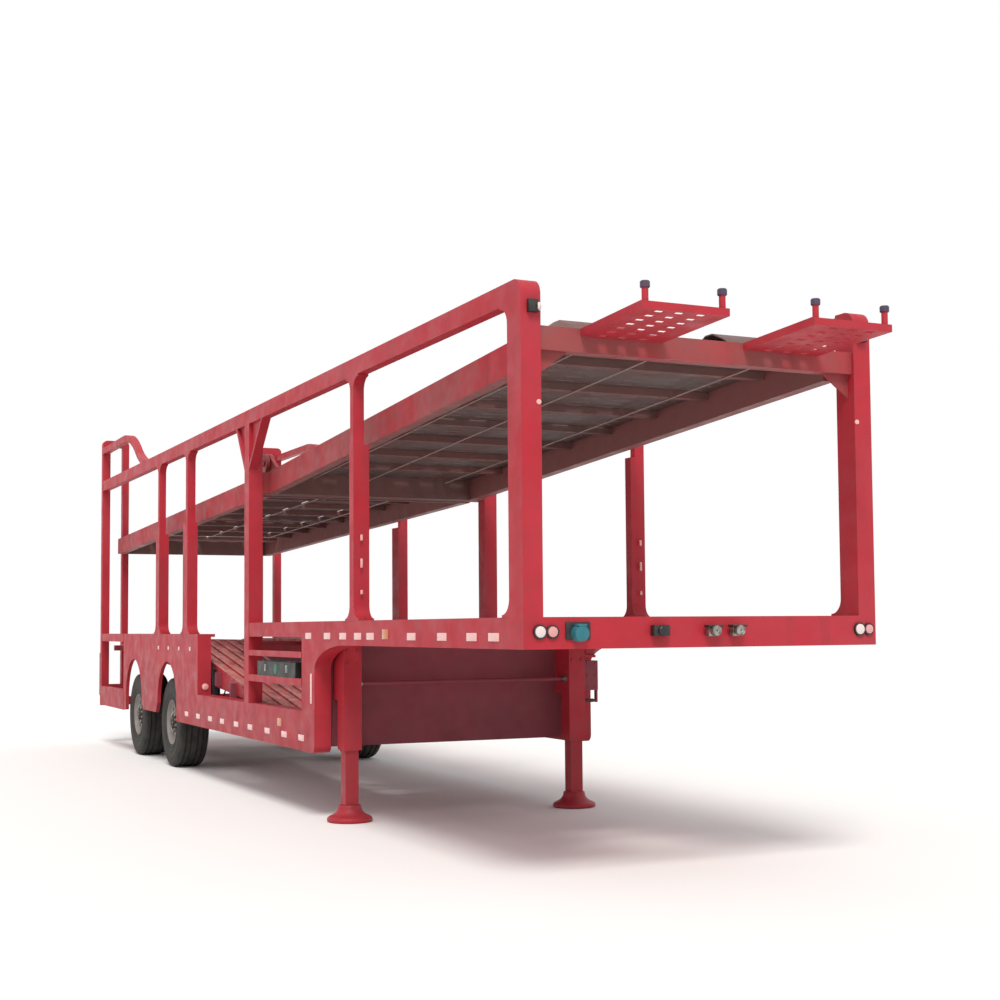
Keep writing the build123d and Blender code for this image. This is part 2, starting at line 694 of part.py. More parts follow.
# Tail cross beam between the towers
TAIL_BEAM_DEPTH = 200
TAIL_BEAM_TOP = TAIL_FLOOR_TOP + RIB_HEIGHT
with BuildPart() as tail_beam:
    block(
        (TOWER_STATION, TOWER_STATION + TOWER_DEPTH),
        (-TOWER_INNER, TOWER_INNER),
        (TAIL_BEAM_TOP - TAIL_BEAM_DEPTH, TAIL_BEAM_TOP),
    )
save(tail_beam, "tail_beam")

# Underrun bar between the towers' feet
UNDERRUN_DEPTH = 110
with BuildPart() as underrun_bar:
    block(
        (TOWER_STATION, TOWER_STATION + TOWER_DEPTH),
        (-TOWER_INNER, TOWER_INNER),
        (TOWER_FOOT, TOWER_FOOT + UNDERRUN_DEPTH),
    )
save(underrun_bar, "underrun_bar")

# Tail lamps on the towers' rear faces
LAMP_WIDTH = 90
LAMP_TOP = 1210
LAMP_BOTTOM = 640
with BuildPart() as tail_lamps:
    for side, hand in SIDES:
        lamp_low = low_y(hand, HALF_WIDTH - LAMP_WIDTH, HALF_WIDTH)
        rear_face = TOWER_STATION + TOWER_DEPTH
        block((rear_face, rear_face + LAMP_DEPTH), (lamp_low, lamp_low + LAMP_WIDTH), (LAMP_BOTTOM, LAMP_TOP))
save(tail_lamps, "tail_lamps")

# Axles: square tube with a round spindle at each end
BEAD_WIDTH = 300
AXLE_END_GAP = 12           # axle tube to the rim
WHEEL_CENTRE = TYRE_OUTER_FACE - TYRE_WIDTH / 2
RIM_OUTER_FACE = WHEEL_CENTRE + BEAD_WIDTH / 2
RIM_INNER_FACE = WHEEL_CENTRE - BEAD_WIDTH / 2
AXLE_END = RIM_INNER_FACE - AXLE_END_GAP
DISC_FACE = 1130            # wheel disc, outer face
HUB_OUTER = 1180
SPINDLE_END = 1150
with BuildPart() as axles:
    for station in AXLE_STATIONS.values():
        with BuildSketch(side_plane(-AXLE_END)):
            with Locations((x_at(station), TYRE_RADIUS)):
                Rectangle(AXLE_TUBE, AXLE_TUBE)
        extrude(amount=-2 * AXLE_END)
        with BuildSketch(side_plane(-SPINDLE_END)):
            with Locations((x_at(station), TYRE_RADIUS)):
                Circle(SPINDLE_RADIUS)
        extrude(amount=-2 * SPINDLE_END)
save(axles, "axles")

# Wheels: each a tyre on a rim that is closed by its disc, hub and brake drum
SHOULDER = 36
BOWL_RADIUS = 226           # wheel disc, inside the rim's wall
for name, station in AXLE_STATIONS.items():
    for side, hand in SIDES:
        wheel_axis = Axis((x_at(station), 0, TYRE_RADIUS), (0, 1, 0))
        wheel_plane = Plane.YZ.offset(x_at(station))
        centre = hand * WHEEL_CENTRE
        half_tread = TYRE_WIDTH / 2
        with BuildPart() as tyre:
            with BuildSketch(wheel_plane):
                with BuildLine():
                    Polyline(
                        (centre - half_tread, TYRE_RADIUS + RIM_RADIUS),
                        (centre - half_tread, TYRE_RADIUS + TYRE_RADIUS - SHOULDER),
                        (centre - half_tread + SHOULDER, TYRE_RADIUS + TYRE_RADIUS),
                        (centre + half_tread - SHOULDER, TYRE_RADIUS + TYRE_RADIUS),
                        (centre + half_tread, TYRE_RADIUS + TYRE_RADIUS - SHOULDER),
                        (centre + half_tread, TYRE_RADIUS + RIM_RADIUS),
                        close=True,
                    )
                make_face()
            revolve(axis=wheel_axis)
        save(tyre, f"tyre_{name}_{side}")
        with BuildPart() as rim:
            with BuildSketch(wheel_plane):
                bore = TYRE_RADIUS + SPINDLE_RADIUS + SPINDLE_CLEARANCE
                with BuildLine():
                    Polyline(
                        (hand * RIM_INNER_FACE, bore),
                        (hand * RIM_INNER_FACE, TYRE_RADIUS + RIM_RADIUS),
                        (hand * RIM_OUTER_FACE, TYRE_RADIUS + RIM_RADIUS),
                        (hand * RIM_OUTER_FACE, TYRE_RADIUS + BOWL_RADIUS),
                        (hand * DISC_FACE, TYRE_RADIUS + BOWL_RADIUS),
                        (hand * DISC_FACE, TYRE_RADIUS + HUB_RADIUS),
                        (hand * HUB_OUTER, TYRE_RADIUS + HUB_RADIUS),
                        (hand * HUB_OUTER, TYRE_RADIUS),
                        (hand * (SPINDLE_END + OVERCUT), TYRE_RADIUS),
                        (hand * (SPINDLE_END + OVERCUT), bore),
                        close=True,
                    )
                make_face()
            revolve(axis=wheel_axis)
        save(rim, f"rim_{name}_{side}")

# Leaf spring packs on the axles with their hangers under the chassis beams
SPRING_CENTRE = CHASSIS_INNER + CHASSIS_WIDTH / 2
SPRING_WIDTH = 76
SPRING_SEAT = TYRE_RADIUS + AXLE_TUBE / 2
LEAF = 13
LEAF_HALVES = (740, 620, 470, 300)
SPRING_CAMBER = 70
leaf_knots = sorted([-half for half in LEAF_HALVES] + [0] + list(LEAF_HALVES))
with BuildPart() as leaf_springs:
    for station in AXLE_STATIONS.values():
        for side, hand in SIDES:
            y_low = low_y(hand, SPRING_CENTRE - SPRING_WIDTH / 2, SPRING_CENTRE + SPRING_WIDTH / 2)
            with BuildSketch(side_plane(y_low)):
                for index, half in enumerate(reversed(LEAF_HALVES)):
                    leaf = [
                        (station + knot, SPRING_SEAT + index * LEAF + SPRING_CAMBER * (knot / LEAF_HALVES[0]) ** 2)
                        for knot in leaf_knots
                        if abs(knot) <= half
                    ]
                    with BuildLine():
                        outline(strip_points(leaf, LEAF, 0))
                    make_face()
            extrude(amount=-SPRING_WIDTH)
save(leaf_springs, "leaf_springs")

HANGER_PLATE_GAP = 4
HANGER_FOOT = 600
HANGER_PAD_DEPTH = 40
HANGER_PAD_REACH = (45, 15)     # along the leaf from its end, and beyond the end
SEAT_GAP = 0.3
hanger_stations = (
    # station, half length at the foot, half length at the chassis
    (AXLE_STATIONS["front"] - LEAF_HALVES[0], 70, 130),
    ((AXLE_STATIONS["front"] + AXLE_STATIONS["rear"]) / 2, 200, 170),
    (AXLE_STATIONS["rear"] + LEAF_HALVES[0], 70, 130),
)
HANGER_CHEEK = 12
with BuildPart() as spring_hangers:
    for side, hand in SIDES:
        for offset_y in (-SPRING_WIDTH / 2 - HANGER_PLATE_GAP - HANGER_CHEEK, SPRING_WIDTH / 2 + HANGER_PLATE_GAP):
            y_low = hand * SPRING_CENTRE + offset_y
            with BuildSketch(side_plane(y_low)):
                for station, foot_half, top_half in hanger_stations:
                    with BuildLine():
                        outline([
                            (station - top_half, CHASSIS_BOTTOM),
                            (station + top_half, CHASSIS_BOTTOM),
                            (station + foot_half, HANGER_FOOT),
                            (station - foot_half, HANGER_FOOT),
                        ])
                    make_face()
            extrude(amount=-HANGER_CHEEK)
save(spring_hangers, "spring_hangers")

# Slipper pads that hold the springs' ends, between the cheeks of the hangers
with BuildPart() as spring_pads:
    for side, hand in SIDES:
        pad_bottom = SPRING_SEAT + LEAF * len(LEAF_HALVES) + SPRING_CAMBER + SEAT_GAP
        pad_half = SPRING_WIDTH / 2 + HANGER_PLATE_GAP
        for station in AXLE_STATIONS.values():
            for direction in (-1, 1):
                end = station + direction * LEAF_HALVES[0]
                block(
                    (end - direction * HANGER_PAD_REACH[0], end + direction * HANGER_PAD_REACH[1]),
                    (hand * SPRING_CENTRE - pad_half, hand * SPRING_CENTRE + pad_half),
                    (pad_bottom, pad_bottom + HANGER_PAD_DEPTH),
                )
save(spring_pads, "spring_pads")

# Landing legs in front of the neck panel, with brackets to the neck beams
LEG_STATION = 3650
LEG_Y = 1000
LEG_BOX = 150
LEG_BOX_FOOT = 560
LEG_TUBE = 110
LEG_BRACKET_FRONT = 3560
LEG_BRACKET_BOTTOM = 950
FOOT_RADIUS = 180
FOOT_HEIGHT = 130
FOOT_NECK_RADIUS = 90
with BuildPart() as landing_legs:
    for side, hand in SIDES:
        block(
            (LEG_STATION - LEG_BOX / 2, LEG_STATION + LEG_BOX / 2),
            (hand * LEG_Y - LEG_BOX / 2, hand * LEG_Y + LEG_BOX / 2),
            (LEG_BOX_FOOT, NECK_BOTTOM),
        )
        block(
            (LEG_STATION - LEG_TUBE / 2, LEG_STATION + LEG_TUBE / 2),
            (hand * LEG_Y - LEG_TUBE / 2, hand * LEG_Y + LEG_TUBE / 2),
            (FOOT_HEIGHT, LEG_BOX_FOOT),
        )
        block(
            (LEG_STATION + LEG_BOX / 2, PANEL_STATION),
            (hand * LEG_Y - LEG_BOX / 2, hand * LEG_Y + LEG_BOX / 2),
            (LEG_BRACKET_BOTTOM, NECK_BOTTOM),
        )
save(landing_legs, "landing_legs")

FOOT_EDGE = 40
with BuildPart() as landing_feet:
    leg_x = x_at(LEG_STATION)
    for side, hand in SIDES:
        with BuildSketch(Plane.XZ.offset(-hand * LEG_Y)):
            with BuildLine():
                Polyline(
                    (leg_x, FOOT_HEIGHT),
                    (leg_x, 0),
                    (leg_x + FOOT_RADIUS, 0),
                    (leg_x + FOOT_RADIUS, FOOT_EDGE),
                    (leg_x + FOOT_NECK_RADIUS, FOOT_HEIGHT),
                    close=True,
                )
            make_face()
        revolve(axis=Axis((leg_x, hand * LEG_Y, 0), (0, 0, 1)))
save(landing_feet, "landing_feet")

# Landing gear cross shaft, with the gearbox and the hanging crank outside the left leg
SHAFT_HEIGHT = 1080
SHAFT_RADIUS = 18
GEARBOX_BOTTOM = 980
GEARBOX_TOP = 1230
GEARBOX_WIDTH = 125
CRANK_ARM = 190
CRANK_GRIP = 110
CRANK_RADIUS = 11
CRANK_STUB = 13
CRANK_STRAP = 16
with BuildPart() as landing_shaft:
    leg_inner = LEG_Y - LEG_BOX / 2
    gearbox_outer = LEG_Y + LEG_BOX / 2 + GEARBOX_WIDTH
    with BuildSketch(side_plane(-leg_inner)):
        with Locations((x_at(LEG_STATION), SHAFT_HEIGHT)):
            Circle(SHAFT_RADIUS)
    extrude(amount=-2 * leg_inner)
    block(
        (LEG_STATION - LEG_BOX / 2, LEG_STATION + LEG_BOX / 2),
        (gearbox_outer - GEARBOX_WIDTH, gearbox_outer),
        (GEARBOX_BOTTOM, GEARBOX_TOP),
    )
    for height, start, length in (
        (SHAFT_HEIGHT, gearbox_outer, CRANK_STUB),
        (SHAFT_HEIGHT - CRANK_ARM, gearbox_outer + CRANK_STUB - CRANK_GRIP, CRANK_GRIP),
    ):
        with BuildSketch(side_plane(start)):
            with Locations((x_at(LEG_STATION), height)):
                Circle(CRANK_RADIUS)
        extrude(amount=-length)
    block(
        (LEG_STATION - CRANK_STRAP, LEG_STATION + CRANK_STRAP),
        (gearbox_outer + CRANK_STUB, gearbox_outer + CRANK_STUB + CRANK_STRAP),
        (SHAFT_HEIGHT - CRANK_ARM - CRANK_STRAP, SHAFT_HEIGHT + CRANK_STRAP),
    )
save(landing_shaft, "landing_shaft")

# Side bars behind the neck columns, and an equipment box on the lower one
BAR_FRONT = NECK_COLUMN_STATION + NECK_COLUMN_DEPTH
UPPER_BAR_HEIGHTS = (1280, 1330)
LOWER_BAR_HEIGHTS = (1050, 1110)
BAR_WIDTH = 40
with BuildPart() as side_bars:
    for side, hand in SIDES:
        bar_low = low_y(hand, HALF_WIDTH - BAR_WIDTH, HALF_WIDTH)
        for heights in (UPPER_BAR_HEIGHTS, LOWER_BAR_HEIGHTS):
            block((BAR_FRONT, MID_POST_STATION), (bar_low, bar_low + BAR_WIDTH), heights)
save(side_bars, "side_bars")

BOX_STATIONS = (4300, 5420)
BOX_INNER = 1110
BOX_BAR_GAP = 40
BOX_SETBACK = 6
BOX_TOP = UPPER_BAR_HEIGHTS[0] - BOX_BAR_GAP
with BuildPart() as equipment_box:
    block(BOX_STATIONS, (BOX_SETBACK - HALF_WIDTH, -BOX_INNER), (LOWER_BAR_HEIGHTS[1], BOX_TOP))
    fillet(equipment_box.edges().filter_by(Axis.X).group_by(Axis.Z)[-1], radius=EDGE_RADIUS)
save(equipment_box, "equipment_box")

# Upper front cross beam between the front posts, with a gusset under each end
CROSS_BEAM_STATION = 20
CROSS_BEAM_DEPTH = 100
CROSS_BEAM_BOTTOM = 3120
CROSS_BEAM_TOP = 3260
CROSS_GUSSET_REACH = 200
CROSS_GUSSET_DROP = 150
CROSS_GUSSET_PLATE = 12
with BuildPart() as upper_cross_beam:
    block(
        (CROSS_BEAM_STATION, CROSS_BEAM_STATION + CROSS_BEAM_DEPTH),
        (-POST_INNER, POST_INNER),
        (CROSS_BEAM_BOTTOM, CROSS_BEAM_TOP),
    )
    gusset_station = CROSS_BEAM_STATION + (CROSS_BEAM_DEPTH + CROSS_GUSSET_PLATE) / 2
    with BuildSketch(Plane.YZ.offset(x_at(gusset_station))):
        for side, hand in SIDES:
            with BuildLine():
                Polyline(
                    (hand * POST_INNER, CROSS_BEAM_BOTTOM),
                    (hand * (POST_INNER - CROSS_GUSSET_REACH), CROSS_BEAM_BOTTOM),
                    (hand * POST_INNER, CROSS_BEAM_BOTTOM - CROSS_GUSSET_DROP),
                    close=True,
                )
            make_face()
    extrude(amount=CROSS_GUSSET_PLATE)
save(upper_cross_beam, "upper_cross_beam")

# Upper deck: a fixed front section and a rear section hinged behind the mid posts
MEMBER_DEPTH = 50
FIXED_START = CROSS_BEAM_STATION + CROSS_BEAM_DEPTH
FIXED_END = MID_POST_STATION + MID_POST_DEPTH
MOVING_START = FIXED_END + DECK_GAP
MEMBER_PITCH = 700
FIXED_FIRST_GAP = 640
MOVING_FIRST_GAP = 710
FIXED_END_MEMBER_WIDTH = 140
HINGE_SIDE_GAP = 5          # fixed ears, outside the deck beam's inner face
DECK_BEAM_INNER = DECK_HALF_WIDTH - DECK_BEAM_WIDTH
HINGE_STATION = FIXED_END + HINGE_SETBACK
HINGE_HEIGHT = DECK_TOP_MID + HINGE_RISE


def slab(start, end, drop, depth):
    # Closed outline that lies a given drop under the deck's top between two stations.
    outline([
        (start, deck_top(start) - drop),
        (end, deck_top(end) - drop),
        (end, deck_top(end) - drop - depth),
        (start, deck_top(start) - drop - depth),
    ])


def ear(inner, tail_points, bore):
    # Pair of round hinge ears, each with a web down to the deck beam.
    for side, hand in SIDES:
        with BuildSketch(side_plane(low_y(hand, inner, inner + EAR_THICKNESS))) as cheek:
            with Locations((x_at(HINGE_STATION), HINGE_HEIGHT)):
                Circle(EAR_RADIUS)
            with BuildLine():
                outline(tail_points)
            make_face()
            with Locations((x_at(HINGE_STATION), HINGE_HEIGHT)):
                if bore:
                    Circle(bore, mode=Mode.SUBTRACT)
        extrude(cheek.sketch, amount=-EAR_THICKNESS)


EAR_INNER = DECK_BEAM_INNER + HINGE_SIDE_GAP
MOVING_EAR_INNER = EAR_INNER + EAR_THICKNESS + EAR_GAP
EAR_WEB = 260
PIN_END = 13                # beyond the moving ear


def deck_members(start, end, first_gap):
    # Stations of a section's cross members, in equal steps from the first gap to short of the end.
    count = int((end - start - first_gap - MEMBER_PITCH / 2) / MEMBER_PITCH) + 1
    return [start + first_gap + index * MEMBER_PITCH for index in range(count)]


with BuildPart() as upper_front_beams:
    for side, hand in SIDES:
        for inner, outer, start, end, drop, depth in (
            (DECK_BEAM_INNER, DECK_HALF_WIDTH, FIXED_START, FIXED_END, 0, DECK_BEAM_DEPTH),
            (
                DECK_HALF_WIDTH, POST_INNER, FIXED_END - FIXED_END_MEMBER_WIDTH, FIXED_END,
                DECK_PLATE, DECK_BEAM_DEPTH - DECK_PLATE,
            ),
        ):
            with BuildSketch(side_plane(low_y(hand, inner, outer))):
                with BuildLine():
                    slab(start, end, drop, depth)
                make_face()
            extrude(amount=inner - outer)
    ear(EAR_INNER, [
        (FIXED_END - EAR_WEB, deck_top(FIXED_END - EAR_WEB)),
        (HINGE_STATION, HINGE_HEIGHT + EAR_RADIUS),
        (HINGE_STATION, HINGE_HEIGHT - EAR_RADIUS),
        (FIXED_END, HINGE_HEIGHT - EAR_RADIUS),
        (FIXED_END, deck_top(FIXED_END)),
    ], 0)
    pin_length = MOVING_EAR_INNER + EAR_THICKNESS + PIN_END - EAR_INNER
    for side, hand in SIDES:
        with BuildSketch(side_plane(low_y(hand, EAR_INNER, EAR_INNER + pin_length))):
            with Locations((x_at(HINGE_STATION), HINGE_HEIGHT)):
                Circle(HINGE_PIN_RADIUS)
        extrude(amount=-pin_length)
save(upper_front_beams, "upper_front_beams")

with BuildPart() as upper_front_members:
    with BuildSketch(side_plane(-DECK_BEAM_INNER)):
        for station in deck_members(FIXED_START, FIXED_END, FIXED_FIRST_GAP):
            with BuildLine():
                slab(station, station + MEMBER_WIDTH, DECK_PLATE, MEMBER_DEPTH)
            make_face()
        with BuildLine():
            slab(FIXED_END - FIXED_END_MEMBER_WIDTH, FIXED_END, DECK_PLATE, DECK_BEAM_DEPTH - DECK_PLATE)
        make_face()
    extrude(amount=-2 * DECK_BEAM_INNER)
save(upper_front_members, "upper_front_members")

with BuildPart() as rear_deck_beams:
    for side, hand in SIDES:
        with BuildSketch(side_plane(low_y(hand, DECK_BEAM_INNER, DECK_HALF_WIDTH))):
            with BuildLine():
                slab(MOVING_START, DECK_END_STATION, 0, DECK_BEAM_DEPTH)
            make_face()
        extrude(amount=-DECK_BEAM_WIDTH)
    ear(MOVING_EAR_INNER, [
        (HINGE_STATION, HINGE_HEIGHT + EAR_RADIUS),
        (HINGE_STATION, HINGE_HEIGHT - EAR_RADIUS),
        (MOVING_START, deck_top(MOVING_START)),
        (MOVING_START + EAR_WEB, deck_top(MOVING_START + EAR_WEB)),
    ], HINGE_PIN_RADIUS + HINGE_CLEARANCE)
save(rear_deck_beams, "rear_deck_beams")

with BuildPart() as rear_deck_members:
    with BuildSketch(side_plane(-DECK_BEAM_INNER)):
        for station in deck_members(MOVING_START, DECK_END_STATION, MOVING_FIRST_GAP):
            with BuildLine():
                slab(station, station + MEMBER_WIDTH, DECK_PLATE, MEMBER_DEPTH)
            make_face()
        for start in (MOVING_START, DECK_END_STATION - MEMBER_WIDTH):
            with BuildLine():
                slab(start, start + MEMBER_WIDTH, DECK_PLATE, DECK_BEAM_DEPTH - DECK_PLATE)
            make_face()
    extrude(amount=-2 * DECK_BEAM_INNER)
save(rear_deck_members, "rear_deck_members")


def deck_plates(start, end):
    # Two wheel tracks and a centre strip, let in between the deck beams, with light gaps.
    for low, high in (
        (-DECK_BEAM_INNER, -CENTRE_HALF_WIDTH - SEAM),
        (-CENTRE_HALF_WIDTH, CENTRE_HALF_WIDTH),
        (CENTRE_HALF_WIDTH + SEAM, DECK_BEAM_INNER),
    ):
        with BuildSketch(side_plane(low)) as plate:
            with BuildLine():
                slab(start, end, 0, DECK_PLATE)
            make_face()
        extrude(plate.sketch, amount=low - high)


with BuildPart() as upper_front_plates:
    deck_plates(FIXED_START, FIXED_END)
save(upper_front_plates, "upper_front_plates")

DECK_SLOT_STATION = 12150
DECK_SLOT = 40
with BuildPart() as rear_deck_plates:
    deck_plates(MOVING_START, DECK_SLOT_STATION)
    deck_plates(DECK_SLOT_STATION + DECK_SLOT, DECK_END_STATION)
save(rear_deck_plates, "rear_deck_plates")

# Front trays: slotted pans ahead of the upper cross beam, with a pin at each outer corner
TRAY_CENTRE = 570
TRAY_WIDTH = 560
TRAY_SHEET = 6
TRAY_FLOOR = 3215
TRAY_RISE = 25
TRAY_FLANGE = 60
TRAY_SLOT_LENGTH = 180
TRAY_SLOT_WIDTH = 60
TRAY_SLOT_COLUMNS = 2
TRAY_SLOT_ROWS = 4
TRAY_SLOT_PITCH_X = 140
TRAY_SLOT_PITCH_Y = 240
TRAY_PIN_RADIUS = 14
TRAY_PIN_TOP = 3400
TRAY_PIN_INSET = 30
with BuildPart() as deck_trays:
    for side, hand in SIDES:
        y_low = low_y(hand, TRAY_CENTRE - TRAY_WIDTH / 2, TRAY_CENTRE + TRAY_WIDTH / 2)
        floor_front = TRAY_FLOOR + TRAY_RISE
        with BuildSketch(side_plane(y_low)):
            with BuildLine():
                outline([
                    (CROSS_BEAM_STATION, TRAY_FLOOR),
                    (CROSS_BEAM_STATION, TRAY_FLOOR + TRAY_SHEET),
                    (-TRAY_REACH + TRAY_SHEET, floor_front + TRAY_SHEET),
                    (-TRAY_REACH + TRAY_SHEET, floor_front + TRAY_FLANGE),
                    (-TRAY_REACH, floor_front + TRAY_FLANGE),
                    (-TRAY_REACH, floor_front),
                ])
            make_face()
        extrude(amount=-TRAY_WIDTH)
        for flange_low in (y_low, y_low + TRAY_WIDTH - TRAY_SHEET):
            with BuildSketch(side_plane(flange_low)):
                with BuildLine():
                    outline([
                        (CROSS_BEAM_STATION, TRAY_FLOOR),
                        (CROSS_BEAM_STATION, CROSS_BEAM_TOP),
                        (-TRAY_REACH, floor_front + TRAY_FLANGE),
                        (-TRAY_REACH, floor_front),
                    ])
                make_face()
            extrude(amount=-TRAY_SHEET)
        with BuildSketch(Plane.XY.offset(TRAY_FLOOR - OVERCUT)):
            with Locations((x_at((CROSS_BEAM_STATION - TRAY_REACH) / 2), hand * TRAY_CENTRE)):
                with GridLocations(TRAY_SLOT_PITCH_X, TRAY_SLOT_PITCH_Y, TRAY_SLOT_ROWS, TRAY_SLOT_COLUMNS):
                    Rectangle(TRAY_SLOT_WIDTH, TRAY_SLOT_LENGTH)
        extrude(amount=TRAY_RISE + TRAY_SHEET + 2 * OVERCUT, mode=Mode.SUBTRACT)
        with BuildSketch(Plane.XY.offset(floor_front + TRAY_SHEET / 2)):
            for pin_y in (y_low + TRAY_PIN_INSET, y_low + TRAY_WIDTH - TRAY_PIN_INSET):
                with Locations((x_at(-TRAY_REACH + TRAY_PIN_INSET), pin_y)):
                    Circle(TRAY_PIN_RADIUS)
        extrude(amount=TRAY_PIN_TOP - floor_front - TRAY_SHEET / 2)
save(deck_trays, "deck_trays")
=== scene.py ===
import math

import bmesh
import bpy
from mathutils import Matrix, Vector


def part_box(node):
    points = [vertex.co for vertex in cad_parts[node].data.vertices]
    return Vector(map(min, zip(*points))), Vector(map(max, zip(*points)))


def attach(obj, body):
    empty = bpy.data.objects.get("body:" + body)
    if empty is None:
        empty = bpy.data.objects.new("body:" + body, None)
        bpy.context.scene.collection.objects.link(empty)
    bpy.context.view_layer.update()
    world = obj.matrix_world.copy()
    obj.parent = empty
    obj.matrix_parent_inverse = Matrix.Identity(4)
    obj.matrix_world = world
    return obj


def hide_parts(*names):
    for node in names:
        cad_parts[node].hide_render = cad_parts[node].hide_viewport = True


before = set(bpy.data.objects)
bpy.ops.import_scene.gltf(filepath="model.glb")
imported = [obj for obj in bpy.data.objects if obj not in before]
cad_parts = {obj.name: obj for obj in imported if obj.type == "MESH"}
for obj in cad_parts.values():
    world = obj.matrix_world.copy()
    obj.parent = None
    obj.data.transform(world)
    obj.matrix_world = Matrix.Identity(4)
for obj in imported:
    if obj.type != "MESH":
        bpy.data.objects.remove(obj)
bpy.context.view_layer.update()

bl_info = {
    "name": "Car transporter semi-trailer finish",
    "version": (1, 0, 0),
    "blender": (4, 5, 0),
    "location": "View3D > Sidebar > Transporter",
    "description": "Dresses the packed trailer frame with tyres, rims, lamps, fittings and weathered paint",
    "category": "Object",
}

MM = 0.001
FRONT_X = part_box("front_posts")[1].x
HALF_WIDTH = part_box("top_rails")[1].y
HANDS = (-1, 1)           # right and left side, as signs of row y
WHEELS = [(f"{axle}_{side}", hand) for axle in ("front", "rear") for side, hand in zip(("right", "left"), HANDS)]
RAMP_FOOT = (5.57, 0.80)  # station and height of the low deck's floor where the ramps start
RAMP_HEAD = (9.10, 1.40)  # and where they end


def x_at(station):
    """Row x of a station, which is a distance in metres behind the front face of the front posts."""
    return FRONT_X - station


# ---- Sizes and colours a user would change


def colour(name, default, description):
    return bpy.props.StringProperty(name=name, description=description, default=default)


def measure(name, default, description, unit="LENGTH"):
    return bpy.props.FloatProperty(name=name, description=description, default=default, unit=unit)


def number(name, default, least, description):
    return bpy.props.IntProperty(name=name, description=description, default=default, min=least)


class TransporterColours(bpy.types.PropertyGroup):
    red: colour("Frame enamel", "#B2202F", "Sprayed enamel of the frame")
    faded: colour("Faded enamel", "#B4414C", "The frame's enamel where the sun has chalked it")
    grime: colour("Road grime", "#43302E", "Dried road dirt in corners and low down")
    primer: colour("Worn edge", "#7E5650", "Primer and steel where the enamel has gone")
    # This colour is also the painted shade of the shaded finish and of the beams' inner and downward faces.
    member: colour("Deck member", "#7F5854", "Sooty enamel of the members under the decks")
    neck: colour("Neck panel", "#8C3E48", "Sooty enamel of the panel behind the legs")
    deck: colour("Deck sheet", "#5F5350", "Thin red-brown primer on the deck plates")
    deck_rust: colour("Deck rust", "#6C4F49", "Rust bloom on the deck plates")
    chassis_black: colour("Running gear", "#2A2828", "Chassis black on axles and springs")
    wheel_grey: colour("Wheel enamel", "#918B86", "Baked enamel of the wheels")
    rubber: colour("Tyre rubber", "#2C2B2A", "Moulded tyre rubber")
    box_green: colour("Equipment box", "#1A211F", "Dark enamel of the equipment box")
    steel: colour("Plated steel", "#A9A8A2", "Zinc-plated fasteners and caps")
    lens_red: colour("Red lens", "#8E1216", "Moulded red lens")
    lens_amber: colour("Amber lens", "#D06A14", "Moulded amber lens")
    lens_pale: colour("Pale lens", "#EBDAD6", "Moulded clear lens")
    lens_pink: colour("Pink lens", "#DFA3A0", "Faded red lens")
    reflector: colour("Side reflector", "#EDB9B4", "Reflecting sheet on the beams")
    cap_violet: colour("Pin cap", "#41364A", "Moulded cap of a tray pin")
    cap_green: colour("Box lid", "#1F6B4A", "Moulded round lid on the box")
    cap_blue: colour("Coupling cap", "#1E6C78", "Moulded cap of the electric socket")
    pipe: colour("Pipe", "#A4918C", "Drawn polymer pipes under the decks")
    dark_plastic: colour("Dark plastic", "#1B1A1B", "Moulded housings, grips and hoses")


class TransporterSizes(bpy.types.PropertyGroup):
    tread_depth: measure("Tread depth", 14 * MM, "Depth of the tyre's grooves")
    tread_blocks: number("Tread blocks", 60, 12, "Shoulder blocks around a tyre")
    hand_holes: number("Hand holes", 10, 4, "Ventilation holes in a wheel disc")
    hand_hole_radius: measure("Hand hole radius", 28 * MM, "Radius of a ventilation hole")
    wheel_nuts: number("Wheel nuts", 10, 4, "Nuts on a wheel disc")
    bolt_head: measure("Bolt head", 24 * MM, "Width across flats of the frame's bolts")
    reflector_width: measure("Reflector width", 150 * MM, "Side reflector, along the beam")
    reflector_height: measure("Reflector height", 50 * MM, "Side reflector, up the beam")
    slot_pitch: measure("Deck slot pitch", 120 * MM, "Distance between the deck's slots")
    slot_width: measure("Deck slot width", 16 * MM, "Width of a slot in the deck plates")


class TransporterStudio(bpy.types.PropertyGroup):
    floor: colour("Floor", "#F2F1EF", "Plain pale floor")
    floor_radius: measure("Floor radius", 90.0, "Half the side of the floor")
    sun_strength: measure("Sun", 2.1, "Strength of the soft sun", "NONE")
    sky_strength: measure("Sky", 0.75, "Strength of the sky's light", "NONE")
    camera_focal: measure("Focal length", 53.82, "Focal length on a 36 mm sensor", "NONE")


def colours():
    return bpy.context.scene.transporter_colours


def sizes():
    return bpy.context.scene.transporter_sizes


def studio():
    return bpy.context.scene.transporter_studio


# ---- Materials


def linear(hex_value):
    """Linear RGBA of an sRGB hex colour."""
    channels = [int(hex_value[i:i + 2], 16) / 255 for i in (1, 3, 5)]
    return tuple(c / 12.92 if c <= 0.04045 else ((c + 0.055) / 1.055) ** 2.4 for c in channels) + (1.0,)


def add_node(tree, kind, inputs=None, **settings):
    """Adds a shader node, sets its properties, and sets or links its inputs."""
    made = tree.nodes.new(f"ShaderNode{kind}")
    for name, value in settings.items():
        setattr(made, name, value)
    for name, value in (inputs or {}).items():
        if isinstance(value, bpy.types.NodeSocket):
            tree.links.new(value, made.inputs[name])
        else:
            made.inputs[name].default_value = value
    return made


